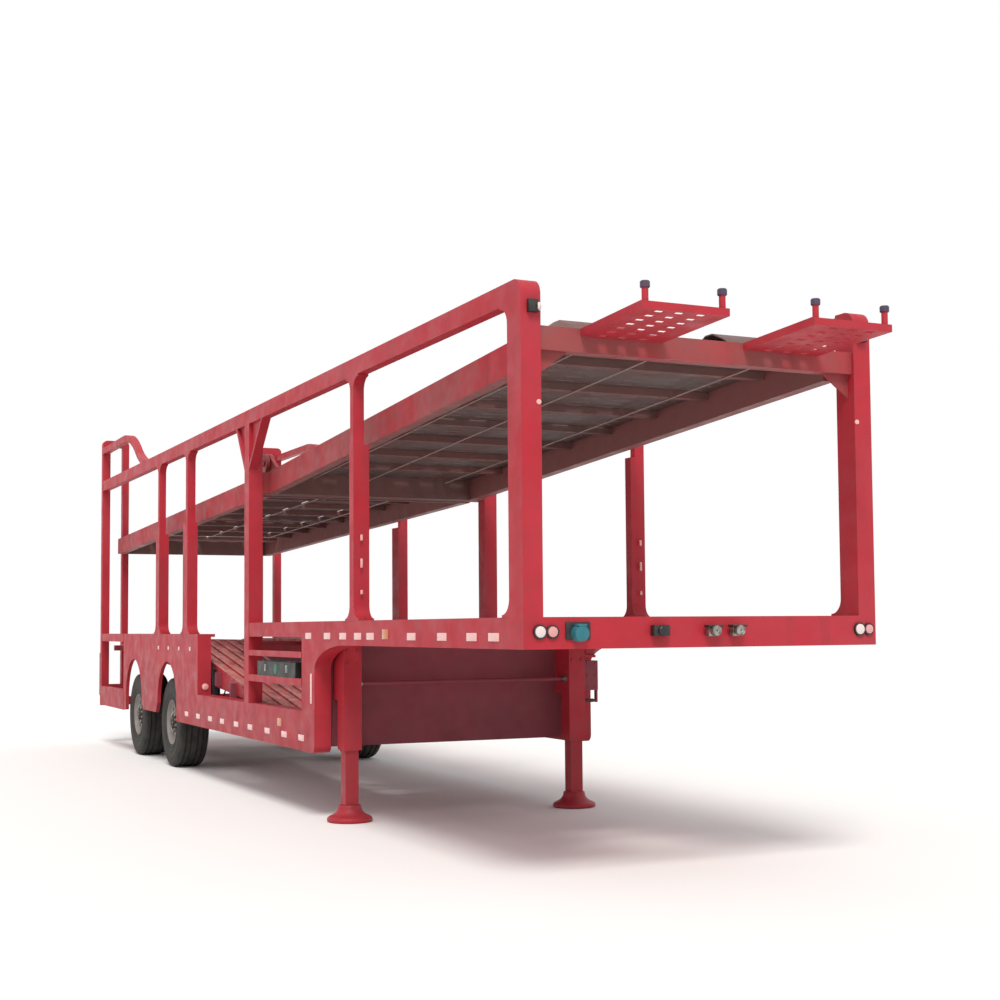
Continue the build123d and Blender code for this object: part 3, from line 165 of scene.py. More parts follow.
class Finish:
    """One material's nodes: a base colour, what lies over it, and the shader that takes it."""

    def __init__(self, name, base):
        self.material = bpy.data.materials.new(name)
        self.material.use_nodes = True
        self.tree = self.material.node_tree
        self.tree.nodes.clear()
        self.place = self.node("TexCoord").outputs["Object"]
        self.colour = linear(base)

    def node(self, kind, inputs=None, **settings):
        return add_node(self.tree, kind, inputs, **settings)

    def axis(self, output, letter):
        """One coordinate of the surface's Position or Normal."""
        geometry = self.node("NewGeometry")
        return self.node("SeparateXYZ", {"Vector": geometry.outputs[output]}).outputs[letter]

    def combine(self, operation, first, second=0.0):
        return self.node("Math", {0: first, 1: second}, operation=operation).outputs[0]

    def times(self, first, second):
        return self.combine("MULTIPLY", first, second)

    def band(self, value, low, high, to_high=1.0, to_low=0.0):
        """Maps a value from one span to another and holds it there."""
        return self.node(
            "MapRange",
            {"Value": value, "From Min": low, "From Max": high, "To Min": to_low, "To Max": to_high},
            clamp=True,
        ).outputs[0]

    def pattern(self, size_mm, detail, stretch=(1, 1, 1)):
        """Noise whose blotches are about size_mm across, stretched along an axis by a factor under 1."""
        mapped = self.node("Mapping", {"Vector": self.place, "Scale": stretch})
        return self.node(
            "TexNoise",
            {"Vector": mapped.outputs[0], "Scale": 1 / (size_mm * MM), "Detail": detail, "Roughness": 0.55},
        ).outputs["Fac"]

    def patches(self, size_mm, detail, low, high, most=1.0, least=0.0, stretch=(1, 1, 1)):
        """A pattern's values between two levels, spread from least to most."""
        return self.band(self.pattern(size_mm, detail, stretch), low, high, most, least)

    def edges(self, radius_mm):
        """1 on edges and corners, 0 on open faces, from how far a rounded normal turns away from the true one."""
        rounded = self.node("Bevel", {"Radius": radius_mm * MM}, samples=4)
        true = self.node("NewGeometry")
        turn = self.node(
            "VectorMath", {0: rounded.outputs[0], 1: true.outputs["Normal"]}, operation="DOT_PRODUCT")
        return self.band(turn.outputs["Value"], 0.995, 0.80)

    def over(self, factor, hex_value):
        """Lays a colour over what is there, as far as the factor says."""
        mixed = self.node("Mix", {0: factor, 6: self.colour, 7: linear(hex_value)}, data_type="RGBA")
        self.colour = mixed.outputs[2]

    def bump(self, strength, depth_mm, height, under=None):
        inputs = {"Strength": strength, "Distance": depth_mm * MM, "Height": height}
        if under:
            inputs["Normal"] = under
        return self.node("Bump", inputs).outputs[0]

    def end(self, shader):
        self.node("OutputMaterial", {"Surface": shader.outputs[0]})
        return self.material

    def shaded(self, roughness, normal, constants=None):
        inputs = {"Base Color": self.colour, "Roughness": roughness, "Normal": normal, "IOR": 1.5}
        return self.end(self.node("BsdfPrincipled", {**inputs, **(constants or {})}))


def sprayed_enamel(name, base, faded, gloss=0.40, fade=0.42, wear=0.5, dirt=0.6, low_dirt=0.35, inward=None):
    # Alkyd enamel sprayed on rolled steel: a soft gloss with orange peel, chalked where the sun sits,
    # rubbed through to primer along edges, with dust low down and grey runs down its sides.
    # Faces that look toward the centre line or down can take a colour of their own, painted shade.
    c = colours()
    finish = Finish(name, base)
    up = finish.axis("Normal", "Z")
    finish.over(finish.patches(900, 5, 0.36, 0.68, fade), faded)
    finish.over(finish.patches(130, 6, 0.35, 0.75, 0.15), c.grime)
    runs = finish.patches(190, 5, 0.54, 0.80, dirt * 0.5, stretch=(1, 1, 0.16))
    finish.over(finish.times(runs, finish.band(up, 0.7, 0.2)), c.grime)
    low_down = finish.band(finish.axis("Position", "Z"), 1.3, 0.1, low_dirt)
    finish.over(finish.times(low_down, finish.patches(220, 6, 0.3, 0.62)), c.grime)
    finish.over(finish.times(finish.edges(7), finish.patches(60, 6, 0.42, 0.60, wear)), c.primer)
    # Painted shade on faces turned toward the centre line or downward, mixed toward the inward colour.
    if inward:
        hand = finish.combine("SIGN", finish.axis("Position", "Y"))
        outward = finish.times(finish.axis("Normal", "Y"), hand)
        painted_shade = finish.combine("MAXIMUM", finish.band(outward, -0.3, -0.8), finish.band(up, -0.4, -0.9))
        finish.over(finish.times(painted_shade, 0.85), inward)
    roughness = finish.patches(160, 5, 0.3, 0.7, gloss + 0.26, gloss)
    peel = finish.bump(0.10, 0.6, finish.pattern(9, 2))
    ripple = finish.bump(0.25, 4, finish.pattern(340, 2), peel)
    return finish.shaded(roughness, ripple, {"Specular IOR Level": 0.34})


def tracked_enamel(name, base, rubbed):
    # The same enamel under car tyres: rib tops rubbed pale and pink, soil caked between them.
    finish = Finish(name, base)
    tops = finish.band(finish.axis("Normal", "Z"), 0.6, 0.95)
    finish.over(finish.times(tops, finish.patches(260, 6, 0.22, 0.52)), rubbed)
    soil = finish.patches(130, 7, 0.48, 0.72, 0.75)
    finish.over(soil, colours().grime)
    finish.over(finish.times(finish.edges(6), finish.patches(45, 6, 0.40, 0.56, 0.9)), colours().primer)
    roughness = finish.band(soil, 0.0, 0.75, 0.82, 0.42)
    return finish.shaded(roughness, finish.bump(0.35, 1.5, finish.pattern(18, 5)))


def primed_sheet(name, base, rust):
    # Rolled sheet with thin red-oxide primer: dull, dark, with rust bloom and dust.
    finish = Finish(name, base)
    bloom = finish.patches(420, 7, 0.46, 0.70, 0.7)
    finish.over(bloom, rust)
    finish.over(finish.patches(35, 6, 0.55, 0.72, 0.5), colours().grime)
    roughness = finish.band(bloom, 0.0, 0.7, 0.86, 0.62)
    mill_scale = finish.bump(0.3, 1, finish.pattern(14, 5))
    return finish.shaded(roughness, mill_scale, {"Specular IOR Level": 0.35})


def bloomed(name, base, bloom_colour, bloom, roughness, grain, constants=None):
    """A plain surface over a fine grain, with patches of bloom that also dull it."""
    finish = Finish(name, base)
    patches = finish.patches(*bloom)
    finish.over(patches, bloom_colour)
    strength, depth_mm, size_mm, detail = grain
    return finish.shaded(
        finish.band(patches, 0.0, bloom[4], roughness[1], roughness[0]),
        finish.bump(strength, depth_mm, finish.pattern(size_mm, detail)), constants)


def moulded_rubber(name, base, dust):
    # Vulcanised rubber from a steel mould: matt, with grey bloom and dust rubbed into it.
    return bloomed(
        name, base, dust, (120, 5, 0.38, 0.70, 0.5), (0.68, 0.88), (0.25, 0.5, 5, 4),
        {"IOR": 1.52, "Specular IOR Level": 0.3})


def moulded_plastic(name, base, dust):
    # Injection-moulded polymer with a fine spark-eroded grain, greyed by the weather.
    return bloomed(name, base, dust, (60, 5, 0.42, 0.72, 0.4), (0.40, 0.62), (0.2, 0.3, 3, 3))


def plated_steel(name, base, tarnish):
    # Electro-plated steel: cool and bright where it is clean, with white-grey tarnish over it.
    return bloomed(name, base, tarnish, (30, 6, 0.40, 0.66, 1.0), (0.32, 0.62), (0.2, 0.3, 4, 4), {"Metallic": 0.9})


def moulded_lens(name, base, shade):
    # Injection-moulded acrylic lens: glossy, with fine flutes behind a smooth face, lightly hazed.
    finish = Finish(name, base)
    flutes = finish.node(
        "TexWave", {"Vector": finish.place, "Scale": 1 / (24 * MM), "Distortion": 0.4},
        bands_direction="DIAGONAL",
    ).outputs["Fac"]
    finish.over(finish.band(flutes, 0.2, 0.8, 0.45), shade)
    haze = finish.patches(40, 5, 0.4, 0.7, 0.34, 0.10)
    return finish.shaded(
        haze, finish.bump(0.2, 0.6, flutes), {"IOR": 1.49, "Coat Weight": 0.4, "Coat Roughness": 0.08})


MATERIALS = {}


def make_materials():
    c = colours()
    MATERIALS.update({
        "enamel": sprayed_enamel("sprayed_red_enamel", c.red, c.faded),
        # Painted shade: the red enamel turned in broad patches toward the deck member's brown. It is used for the cross
        # members, the upper cross beam and the coupler plate, which sit in shade.
        "shaded": sprayed_enamel("sprayed_red_enamel_painted_shade", c.red, c.member, gloss=0.5, fade=0.75, dirt=0.8),
        # Painted shade on the beams' inner and downward faces, in the deck member's colour.
        "beam": sprayed_enamel(
            "sprayed_red_enamel_shaded_inside", c.red, c.primer, gloss=0.45, fade=0.5, wear=0.4, inward=c.member),
        "member": sprayed_enamel(
            "sprayed_enamel_under_deck", c.member, c.deck, gloss=0.6, fade=0.6, wear=0.0, dirt=0.5),
        "neck": sprayed_enamel(
            "sprayed_enamel_neck_panel", c.neck, "#7A3C48", gloss=0.5, fade=0.6, wear=0.0, dirt=0.25),
        "black": sprayed_enamel(
            "sprayed_chassis_black", c.chassis_black, c.grime, gloss=0.45, fade=0.5, low_dirt=0.5),
        "wheel": sprayed_enamel(
            "baked_grey_enamel", c.wheel_grey, "#ABA59F", gloss=0.36, fade=0.5, wear=0.6, low_dirt=0.5),
        "box": sprayed_enamel("sprayed_dark_enamel", c.box_green, "#27302D", gloss=0.38, fade=0.4),
        "tracks": tracked_enamel("sprayed_red_enamel_tracked", c.red, "#D58F89"),
        "deck": primed_sheet("rolled_sheet_red_oxide", c.deck, c.deck_rust),
        "rubber": moulded_rubber("vulcanised_rubber", c.rubber, "#55504B"),
        "reflector": moulded_lens("embossed_reflecting_sheet", c.reflector, "#D98E8B"),
        "pipe": moulded_plastic("drawn_polymer_pipe", c.pipe, "#7D6E6A"),
        "plastic": moulded_plastic("moulded_polymer_dark", c.dark_plastic, "#4A4644"),
        "steel": plated_steel("zinc_plated_steel", c.steel, "#6F6A63"),
    })
    for tint, shade in (("red", "#4E070A"), ("amber", "#7C3408"), ("pale", "#B7A19D"), ("pink", "#B5605F")):
        MATERIALS[f"{tint}_lens"] = moulded_lens(f"moulded_acrylic_{tint}", getattr(c, f"lens_{tint}"), shade)
    for tint, dust in (("violet", "#5A4A5E"), ("green", "#33584A"), ("blue", "#4C7A80")):
        MATERIALS[tint] = moulded_plastic(f"moulded_polymer_{tint}", getattr(c, f"cap_{tint}"), dust)


# ---- Mesh helpers


def polar(radius, angle, along=0.0):
    return Vector((radius * math.cos(angle), radius * math.sin(angle), along))


def mm(*pairs):
    """Pairs of millimetres in metres."""
    return [(a * MM, b * MM) for a, b in pairs]


def meshes(count):
    return [bmesh.new() for _ in range(count)]


def shell(bm, low, high, radius=0.0):
    """A box with rounded edges between two corners."""
    made = bmesh.ops.create_cube(bm, size=1.0)["verts"]
    size = Vector(high) - Vector(low)
    middle = (Vector(high) + Vector(low)) / 2
    for vertex in made:
        vertex.co = vertex.co * size + middle
    if radius:
        edges = list({edge for vertex in made for edge in vertex.link_edges})
        bmesh.ops.bevel(bm, geom=edges, offset=radius, segments=2, profile=0.5, affect="EDGES")


def side_shell(bm, x_span, hand, y_span, z_span, radius=0.0):
    """A rounded box on one side of the trailer, its y span given as distances from the centre line."""
    y_low, y_high = sorted(hand * y for y in y_span)
    shell(bm, (x_span[0], y_low, z_span[0]), (x_span[1], y_high, z_span[1]), radius)


def join(bm, rings, count):
    """The first count faces between each ring of points and the next."""
    for here, there in zip(rings, rings[1:]):
        for k in range(count):
            after = (k + 1) % len(here)
            bm.faces.new((here[k], there[k], there[after], here[after]))


def close(bm, rings):
    """Solid from rings of points, with a face over each end."""
    join(bm, rings, len(rings[0]))
    bm.faces.new(rings[0][::-1])
    bm.faces.new(rings[-1])


def turned(bm, profile, place, steps, closed=False, radius_of=None):
    """Surface turned about an axis through place: profile holds (along, radius) pairs, along the matrix's z."""
    rings = [
        [
            bm.verts.new(place @ polar(
                radius_of(step, index, radius) if radius_of else radius, 2 * math.pi * step / steps, along))
            for index, (along, radius) in enumerate(profile)
        ]
        for step in range(steps)
    ]
    join(bm, rings + rings[:1], len(profile) if closed else len(profile) - 1)


def prism(bm, outline, place, depth):
    """Solid from a closed outline in the matrix's xy plane, depth along its z."""
    close(bm, [[bm.verts.new(place @ Vector((x, y, z))) for x, y in outline] for z in (0, depth)])


def upright(y):
    """Matrix that sets a prism's outline upright along the trailer at a row y, with its depth toward -y."""
    return Matrix.Translation((0, y, 0)) @ Matrix.Rotation(math.pi / 2, 4, "X")


def facing(point, axis):
    """Matrix that puts z along an axis at a point."""
    return Matrix.Translation(point) @ Vector(axis).to_track_quat("Z", "Y").to_matrix().to_4x4()


def hex_head(bm, point, axis, flats, height):
    """Bolt head with its washer, seated at a point and standing along an axis."""
    place = facing(point, axis)
    turned(bm, [(0, flats * 0.72), (height * 0.22, flats * 0.72), (height * 0.24, flats * 0.5)], place, 12)
    outline = [polar(flats / math.sqrt(3), math.pi * k / 3).xy for k in range(6)]
    prism(bm, outline, place @ Matrix.Translation((0, 0, height * 0.2)), height * 0.8)


def tube(bm, points, radius, steps=10):
    """Round bar or hose along a row of points."""
    rings = []
    for index, point in enumerate(points):
        before = Vector(points[max(index - 1, 0)])
        after = Vector(points[min(index + 1, len(points) - 1)])
        place = facing(point, (after - before).normalized())
        rings.append([bm.verts.new(place @ polar(radius, 2 * math.pi * k / steps)) for k in range(steps)])
    close(bm, rings)


def slotted_plate(bm, start, end, y_low, y_high, top_at, thickness, pitch, width, rows):
    """Sheet between two stations with rows of crosswise slots; rows are (y low, y high) of the slots."""
    cuts_y = sorted({y_low, y_high, *[edge for row in rows for edge in row]})
    count = max(1, int((end - start) / pitch))
    step = (end - start) / count
    cuts_x = [start]
    for k in range(count):
        middle = start + (k + 0.5) * step
        cuts_x += [middle - width / 2, middle + width / 2]
    cuts_x.append(end)
    sheet = {
        (i, j) for i in range(len(cuts_x) - 1) for j in range(len(cuts_y) - 1)
        if i % 2 == 0 or (cuts_y[j], cuts_y[j + 1]) not in rows
    }
    grid = [
        [[bm.verts.new((x_at(x), y, top_at(x) - drop)) for drop in (0, thickness)] for y in cuts_y] for x in cuts_x]
    for i, j in sorted(sheet):
        corners = (grid[i][j], grid[i + 1][j], grid[i + 1][j + 1], grid[i][j + 1])
        bm.faces.new([corner[0] for corner in corners])
        bm.faces.new([corner[1] for corner in reversed(corners)])
        for di, dj, a, b in ((-1, 0, 0, 3), (1, 0, 1, 2), (0, -1, 0, 1), (0, 1, 3, 2)):
            if (i + di, j + dj) not in sheet:
                bm.faces.new((corners[a][0], corners[b][0], corners[b][1], corners[a][1]))


def add_piece(name, bm, material, body="chassis", replaces=(), smooth=35):
    """Turns mesh code into a piece that rides on a body and takes a finish."""
    bmesh.ops.remove_doubles(bm, verts=bm.verts, dist=1e-6)
    bmesh.ops.recalc_face_normals(bm, faces=bm.faces)
    mesh = bpy.data.meshes.new(name)
    bm.to_mesh(mesh)
    bm.free()
    mesh.shade_smooth()
    mesh.set_sharp_from_angle(angle=math.radians(smooth))
    mesh.materials.append(MATERIALS[material])
    piece = bpy.data.objects.new(name, mesh)
    bpy.context.scene.collection.objects.link(piece)
    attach(piece, body)
    if replaces:
        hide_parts(*replaces)


# ---- Operators

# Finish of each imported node. The others take the red enamel, tyres the rubber and rims the wheel enamel.
NODE_FINISHES = {
    "neck": ("neck_panel", "landing_shaft", "chassis_beams", "low_cross_members"),
    "tracks": ("low_tracks", "gooseneck_tracks"),
    "black": ("axles", "leaf_springs", "spring_hangers", "spring_pads"),
    # Cross members, the upper cross beam and the coupler plate take the red enamel with painted shade.
    "shaded": ("high_cross_members", "upper_cross_beam", "gooseneck_cross_members", "coupler_plate"),
    # The beams take painted shade on their inner and downward faces.
    "beam": ("upper_front_beams", "rear_deck_beams"),
    "member": ("upper_front_members", "rear_deck_members"),
    "deck": ("upper_front_plates", "rear_deck_plates"),
    "box": ("equipment_box",),
    "red_lens": ("tail_lamps",),
}


class TRANSPORTER_OT_paint_frame(bpy.types.Operator):
    """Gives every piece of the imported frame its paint"""
    bl_idname = "transporter.paint_frame"
    bl_label = "Paint the frame"

    def execute(self, context):
        make_materials()
        finishes = {name: finish for finish, names in NODE_FINISHES.items() for name in names}
        for name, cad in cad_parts.items():
            finish = finishes.get(name, "enamel")
            if name.startswith("tyre"):
                finish = "rubber"
            elif name.startswith("rim"):
                finish = "wheel"
            cad.data.materials.clear()
            cad.data.materials.append(MATERIALS[finish])
        return {"FINISHED"}


def wheel_place(wheel, hand):
    """Matrix at a wheel's middle with z outward, the tyre's half width and radius, and the bead's radius."""
    low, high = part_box(f"tyre_{wheel}")
    rim_low, rim_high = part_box(f"rim_{wheel}")
    place = facing((low + high) / 2, (0, hand, 0))
    return place, (high.y - low.y) / 2, (high.z - low.z) / 2, (rim_high.z - rim_low.z) / 2


# A tyre's profile in mm: insets from its side with heights above the bead, then with depths below the tread
SIDEWALL = (
    (31, 0), (22, 3), (14, 10), (9, 18), (8, 28), (12, 33), (12, 42), (7, 56), (2, 62), (1, 66),
    (1, 74), (6, 79), (4, 104), (1, 138), (0, 150), (0, 158), (4, 162), (4, 170), (1, 174), (2, 190),
)
SHOULDER = ((4, 44), (7, 33), (10, 22), (20, 9), (34, 3))
GROOVES = (92, 36, -36, -92)


class TRANSPORTER_OT_add_tyres(bpy.types.Operator):
    """Adds tyres with grooved treads and moulded sidewalls"""
    bl_idname = "transporter.add_tyres"
    bl_label = "Add the tyres"

    def execute(self, context):
        s = sizes()
        depth = s.tread_depth
        for wheel, hand in WHEELS:
            place, half, radius, bead = wheel_place(wheel, hand)
            wall = [(half - inset * MM, bead + rise * MM) for inset, rise in SIDEWALL]
            wall += [(half - inset * MM, radius - drop * MM) for inset, drop in SHOULDER]
            tread = [
                ((middle + along) * MM, radius - drop) for middle in GROOVES
                for along, drop in ((8, 0.5 * MM), (6, depth), (-6, depth), (-8, 0.5 * MM))
            ]
            profile = wall + tread + [(-along, r) for along, r in reversed(wall)]
            shoulder = {
                k for k, (along, r) in enumerate(profile) if abs(along) > half - 21 * MM and r > radius - 36 * MM}

            def notch(step, index, r):
                return r - depth * 0.7 if index in shoulder and step % 3 == 0 else r

            bm = bmesh.new()
            turned(bm, profile, place, s.tread_blocks * 3, closed=True, radius_of=notch)
            add_piece(
                f"tyre_{wheel}_moulded", bm, "rubber", f"wheel_{wheel}", (f"tyre_{wheel}",), 40)
        return {"FINISHED"}


def holed_disc(bm, place, face, depth, inner, outer, hole_circle, hole_radius, holes):
    """Wheel disc between two radii with round holes, and the holes' walls."""
    span = 2 * math.pi / holes
    samples = 6
    bevel = 1.5 * MM
    for sector in range(holes):
        start, end = sector * span, (sector + 1) * span
        corners = ((outer, start), (outer, end), (inner, end), (inner, start))
        centre = polar(hole_circle, start + span / 2)
        rings = [[], [], []]
        for (r, a), (to_r, to_a) in zip(corners, corners[1:] + corners[:1]):
            for k in range(samples):
                spot = polar(r + (to_r - r) * k / samples, a + (to_a - a) * k / samples, 0)
                edge = (spot - centre).normalized() * hole_radius + centre
                for ring, point, along in zip(rings, (spot, edge, edge), (face, face - bevel, face - depth)):
                    ring.append(bm.verts.new(place @ Vector((point.x, point.y, along))))
        join(bm, rings, 4 * samples)


class TRANSPORTER_OT_add_wheels(bpy.types.Operator):
    """Adds wheels with a rolled rim, a holed disc, nuts, hub and brake drum"""
    bl_idname = "transporter.add_wheels"
    bl_label = "Add the wheels"

    def execute(self, context):
        s = sizes()
        steps = 80
        face, edge = 105, 149           # mm from the wheel's middle to the disc's face and the rim's edge
        hole_circle, centre_plate = 166, 112
        for wheel, hand in WHEELS:
            place, _, _, bead = wheel_place(wheel, hand)
            bead /= MM
            body = f"wheel_{wheel}"
            bm = bmesh.new()
            turned(bm, mm(
                (-edge, bead), (edge - 13, bead), (edge - 11, bead - 0.5), (edge - 2, bead), (edge, bead - 3),
                (edge - 2, bead - 9), (edge - 12, bead - 12), (face + 22, bead - 17), (face + 8, bead - 24),
                (face, bead - 36),
            ), place, steps)
            holed_disc(
                bm, place, face * MM, 20 * MM, centre_plate * MM, (bead - 36) * MM, hole_circle * MM,
                s.hand_hole_radius, s.hand_holes)
            turned(bm, mm((face, centre_plate), (face + 5, 106), (face + 5, 60)), place, steps)
            turned(bm, mm(
                (-edge, bead), (-edge, bead - 10), (12 - edge, bead - 12), (face - 52, bead - 15),
                (face - 24, bead - 30), (face - 18, bead - 44),
                (face - 18, hole_circle + s.hand_hole_radius / MM + 2),
            ), place, steps)
            add_piece(f"wheel_{wheel}_rolled", bm, "wheel", body, (f"rim_{wheel}",), 32)
            bm = bmesh.new()
            turned(bm, mm(
                (face + 4, 88), (face + 14, 84), (face + 20, 72), (face + 40, 66), (face + 47, 60),
                (face + 49, 44), (face + 49, 0.5),
            ), place, 48)
            turned(bm, mm(
                (face - 19, 90), (face - 58, 104), (face - 62, 196), (face - 72, 210), (26 - edge, 210),
                (24 - edge, 214), (4 - edge, 214), (2 - edge, 208), (2 - edge, 64), (20 - edge, 60), (20 - edge, 42),
            ), place, steps)
            add_piece(f"hub_{wheel}_cast", bm, "black", body=body, smooth=32)
            bm = bmesh.new()
            for count, shift, circle, along, flats, height in (
                (s.wheel_nuts, 0.5, 98, face + 5, 30, 26), (8, 0, 54, face + 48, 12, 2),
            ):
                for k in range(count):
                    spot = place @ polar(circle * MM, 2 * math.pi * (k + shift) / count, along * MM)
                    hex_head(bm, spot, (0, hand, 0), flats * MM, height * MM)
            add_piece(f"wheel_nuts_{wheel}", bm, "steel", body, smooth=25)
        return {"FINISHED"}


# Heights and stations of the side reflectors, on the gooseneck and on the low beam
REFLECTOR_ROWS = (
    (1.460, (0.40, 0.72, 1.185, 1.71, 2.505, 2.77, 3.10, 3.47, 3.94)),
    (0.634, (4.13, 4.60, 5.10, 5.645, 6.12, 6.63, 7.09, 7.585, 8.08)),
)
FENDER_REFLECTORS = (7.95, 8.45, 8.95, 9.45)
SIDE_LAMPS = ((2.20, 1.475), (4.73, 0.728))


class TRANSPORTER_OT_add_reflectors(bpy.types.Operator):
    """Adds the rows of side reflectors and side lamps on the gooseneck and the low beams"""
    bl_idname = "transporter.add_reflectors"
    bl_label = "Add the side reflectors"

    def execute(self, context):
        s = sizes()
        pale, amber = meshes(2)
        beam_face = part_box("low_beams")[1].y
        sheet_face = HALF_WIDTH - 0.5 * MM
        sheets = [
            (station, height, s.reflector_width, s.reflector_height)
            for height, stations in REFLECTOR_ROWS for station in stations
        ]
        sheets.append((3.87, 1.04, 0.04, 0.24))
        sheets += [(station, 1.315, 0.06, 0.04) for station in FENDER_REFLECTORS]
        lamps = [(station, height, 0.12, 0.07) for station, height in SIDE_LAMPS]
        for hand in HANDS:
            for bm, plates, outer, radius in ((pale, sheets, sheet_face, 1), (amber, lamps, HALF_WIDTH, 1.5)):
                for station, height, wide, tall in plates:
                    side_shell(
                        bm, (x_at(station) - wide / 2, x_at(station) + wide / 2), hand, (beam_face, outer),
                        (height - tall / 2, height + tall / 2), radius * MM)
            for height, half in ((2.19, 0.022), (2.0, 0.034), (1.785, 0.016)):
                side_shell(
                    pale, (x_at(2.83), x_at(2.822)), hand, (1.186, 1.204), (height - half, height + half), 2 * MM)
            skirt_lamp, post_lamp = (x_at(7.62), hand * 1.165, 0.93), (x_at(0), hand * 1.136, 2.81)
            turned(pale, mm((0, 34), (10, 32), (16, 20), (18, 1)), facing(skirt_lamp, (1, 0, 0)), 28)
            turned(pale, mm((0, 16), (6, 14), (9, 1)), facing(post_lamp, (1, 0, 0)), 20)
        add_piece("side_reflectors", pale, "reflector")
        add_piece("side_lamps", amber, "amber_lens")
        return {"FINISHED"}


class TRANSPORTER_OT_add_front_fittings(bpy.types.Operator):
    """Adds the lamps, air couplings and electric sockets on the front cross beam"""
    bl_idname = "transporter.add_front_fittings"
    bl_label = "Add the front fittings"

    def execute(self, context):
        face = x_at(0)
        height = 1.49

        def block(bm, along, y_low, y_high, low, high, radius_mm):
            shell(bm, (face + along[0], y_low, height + low), (face + along[1], y_high, height + high), radius_mm * MM)

        def at(y, lift=0.0):
            return facing((face, y, height + lift), (1, 0, 0))

        lamps, red, dark, steel, blue = meshes(5)
        for y, radius, lens in ((-1.145, 34, lamps), (-1.065, 32, red), (1.118, 34, lamps), (1.19, 30, red)):
            turned(dark, mm((0, radius + 9), (14, radius + 8), (16, radius + 3), (12, radius)), at(y), 32)
            turned(lens, mm((10, radius), (17, radius - 2), (22, radius * 0.6), (23, 0.5)), at(y), 32)
        for y in (0.0, 0.17):
            block(steel, (0, 0.05), y - 0.035, y + 0.035, -0.035, 0.035, 6)
            turned(steel, mm((30, 28), (55, 32), (70, 34), (85, 30), (90, 12), (86, 4)), at(y), 28)
            block(dark, (0.02, 0.075), y - 0.055, y + 0.055, 0.02, 0.034, 4)
        turned(blue, mm((0, 50), (50, 48), (62, 44), (66, 20), (67, 1)), at(-0.90, -0.01), 32)
        block(blue, (0.01, 0.065), -0.93, -0.87, 0.03, 0.045, 3)
        block(dark, (0, 0.05), -0.415, -0.305, -0.03, 0.035, 6)
        turned(dark, mm((0, 30), (62, 29), (66, 24), (66, 1)), at(-0.36), 24)
        block(dark, (0, 0.012), -0.98, -0.82, -0.045, 0.055, 3)
        add_piece("front_lamps_pale", lamps, "pale_lens")
        add_piece("front_lamps_pink", red, "pink_lens")
        add_piece("front_sockets_dark", dark, "plastic")
        add_piece("air_couplings", steel, "steel")
        add_piece("electric_socket", blue, "blue")
        return {"FINISHED"}


POST_FEET = ((2.895, 1.575), (8.17, 1.47), (9.515, 1.47))  # stations and heights of the flared feet
RAIL_BOLTS = (0.24, 2.80, 2.97, 8.02, 8.2, 9.39, 9.55)  # stations beside the post heads
TAIL_BOLTS = ((0.58, 0.70, 1.29, 3.93, 4.05), (0.942, 1.20))  # heights, and distances from the centre line
TAIL = 13.04  # station of the towers' rear faces


class TRANSPORTER_OT_add_bolts(bpy.types.Operator):
    """Adds the bolt heads of the post feet, the rails and the towers"""
    bl_idname = "transporter.add_bolts"
    bl_label = "Add the bolts"

    def execute(self, context):
        flats = sizes().bolt_head
        tall = flats * 0.45
        bm = bmesh.new()
        for hand in HANDS:
            for station, foot in POST_FEET:
                for shift in (-0.13, 0.13):
                    spot = (x_at(station + shift), hand * (HALF_WIDTH - 0.055), foot + 0.014)
                    hex_head(bm, spot, (0, 0, 1), flats, tall)
            for height in (3.43, 3.50):
                for station in RAIL_BOLTS:
                    spot = (x_at(station), hand * (HALF_WIDTH - 0.08), height)
                    hex_head(bm, spot, (0, -hand, 0), flats * 0.8, tall)
            for height in TAIL_BOLTS[0]:
                for across in TAIL_BOLTS[1]:
                    hex_head(bm, (x_at(TAIL), hand * across, height), (-1, 0, 0), flats, tall)
        add_piece("frame_bolts", bm, "enamel", smooth=25)
        return {"FINISHED"}


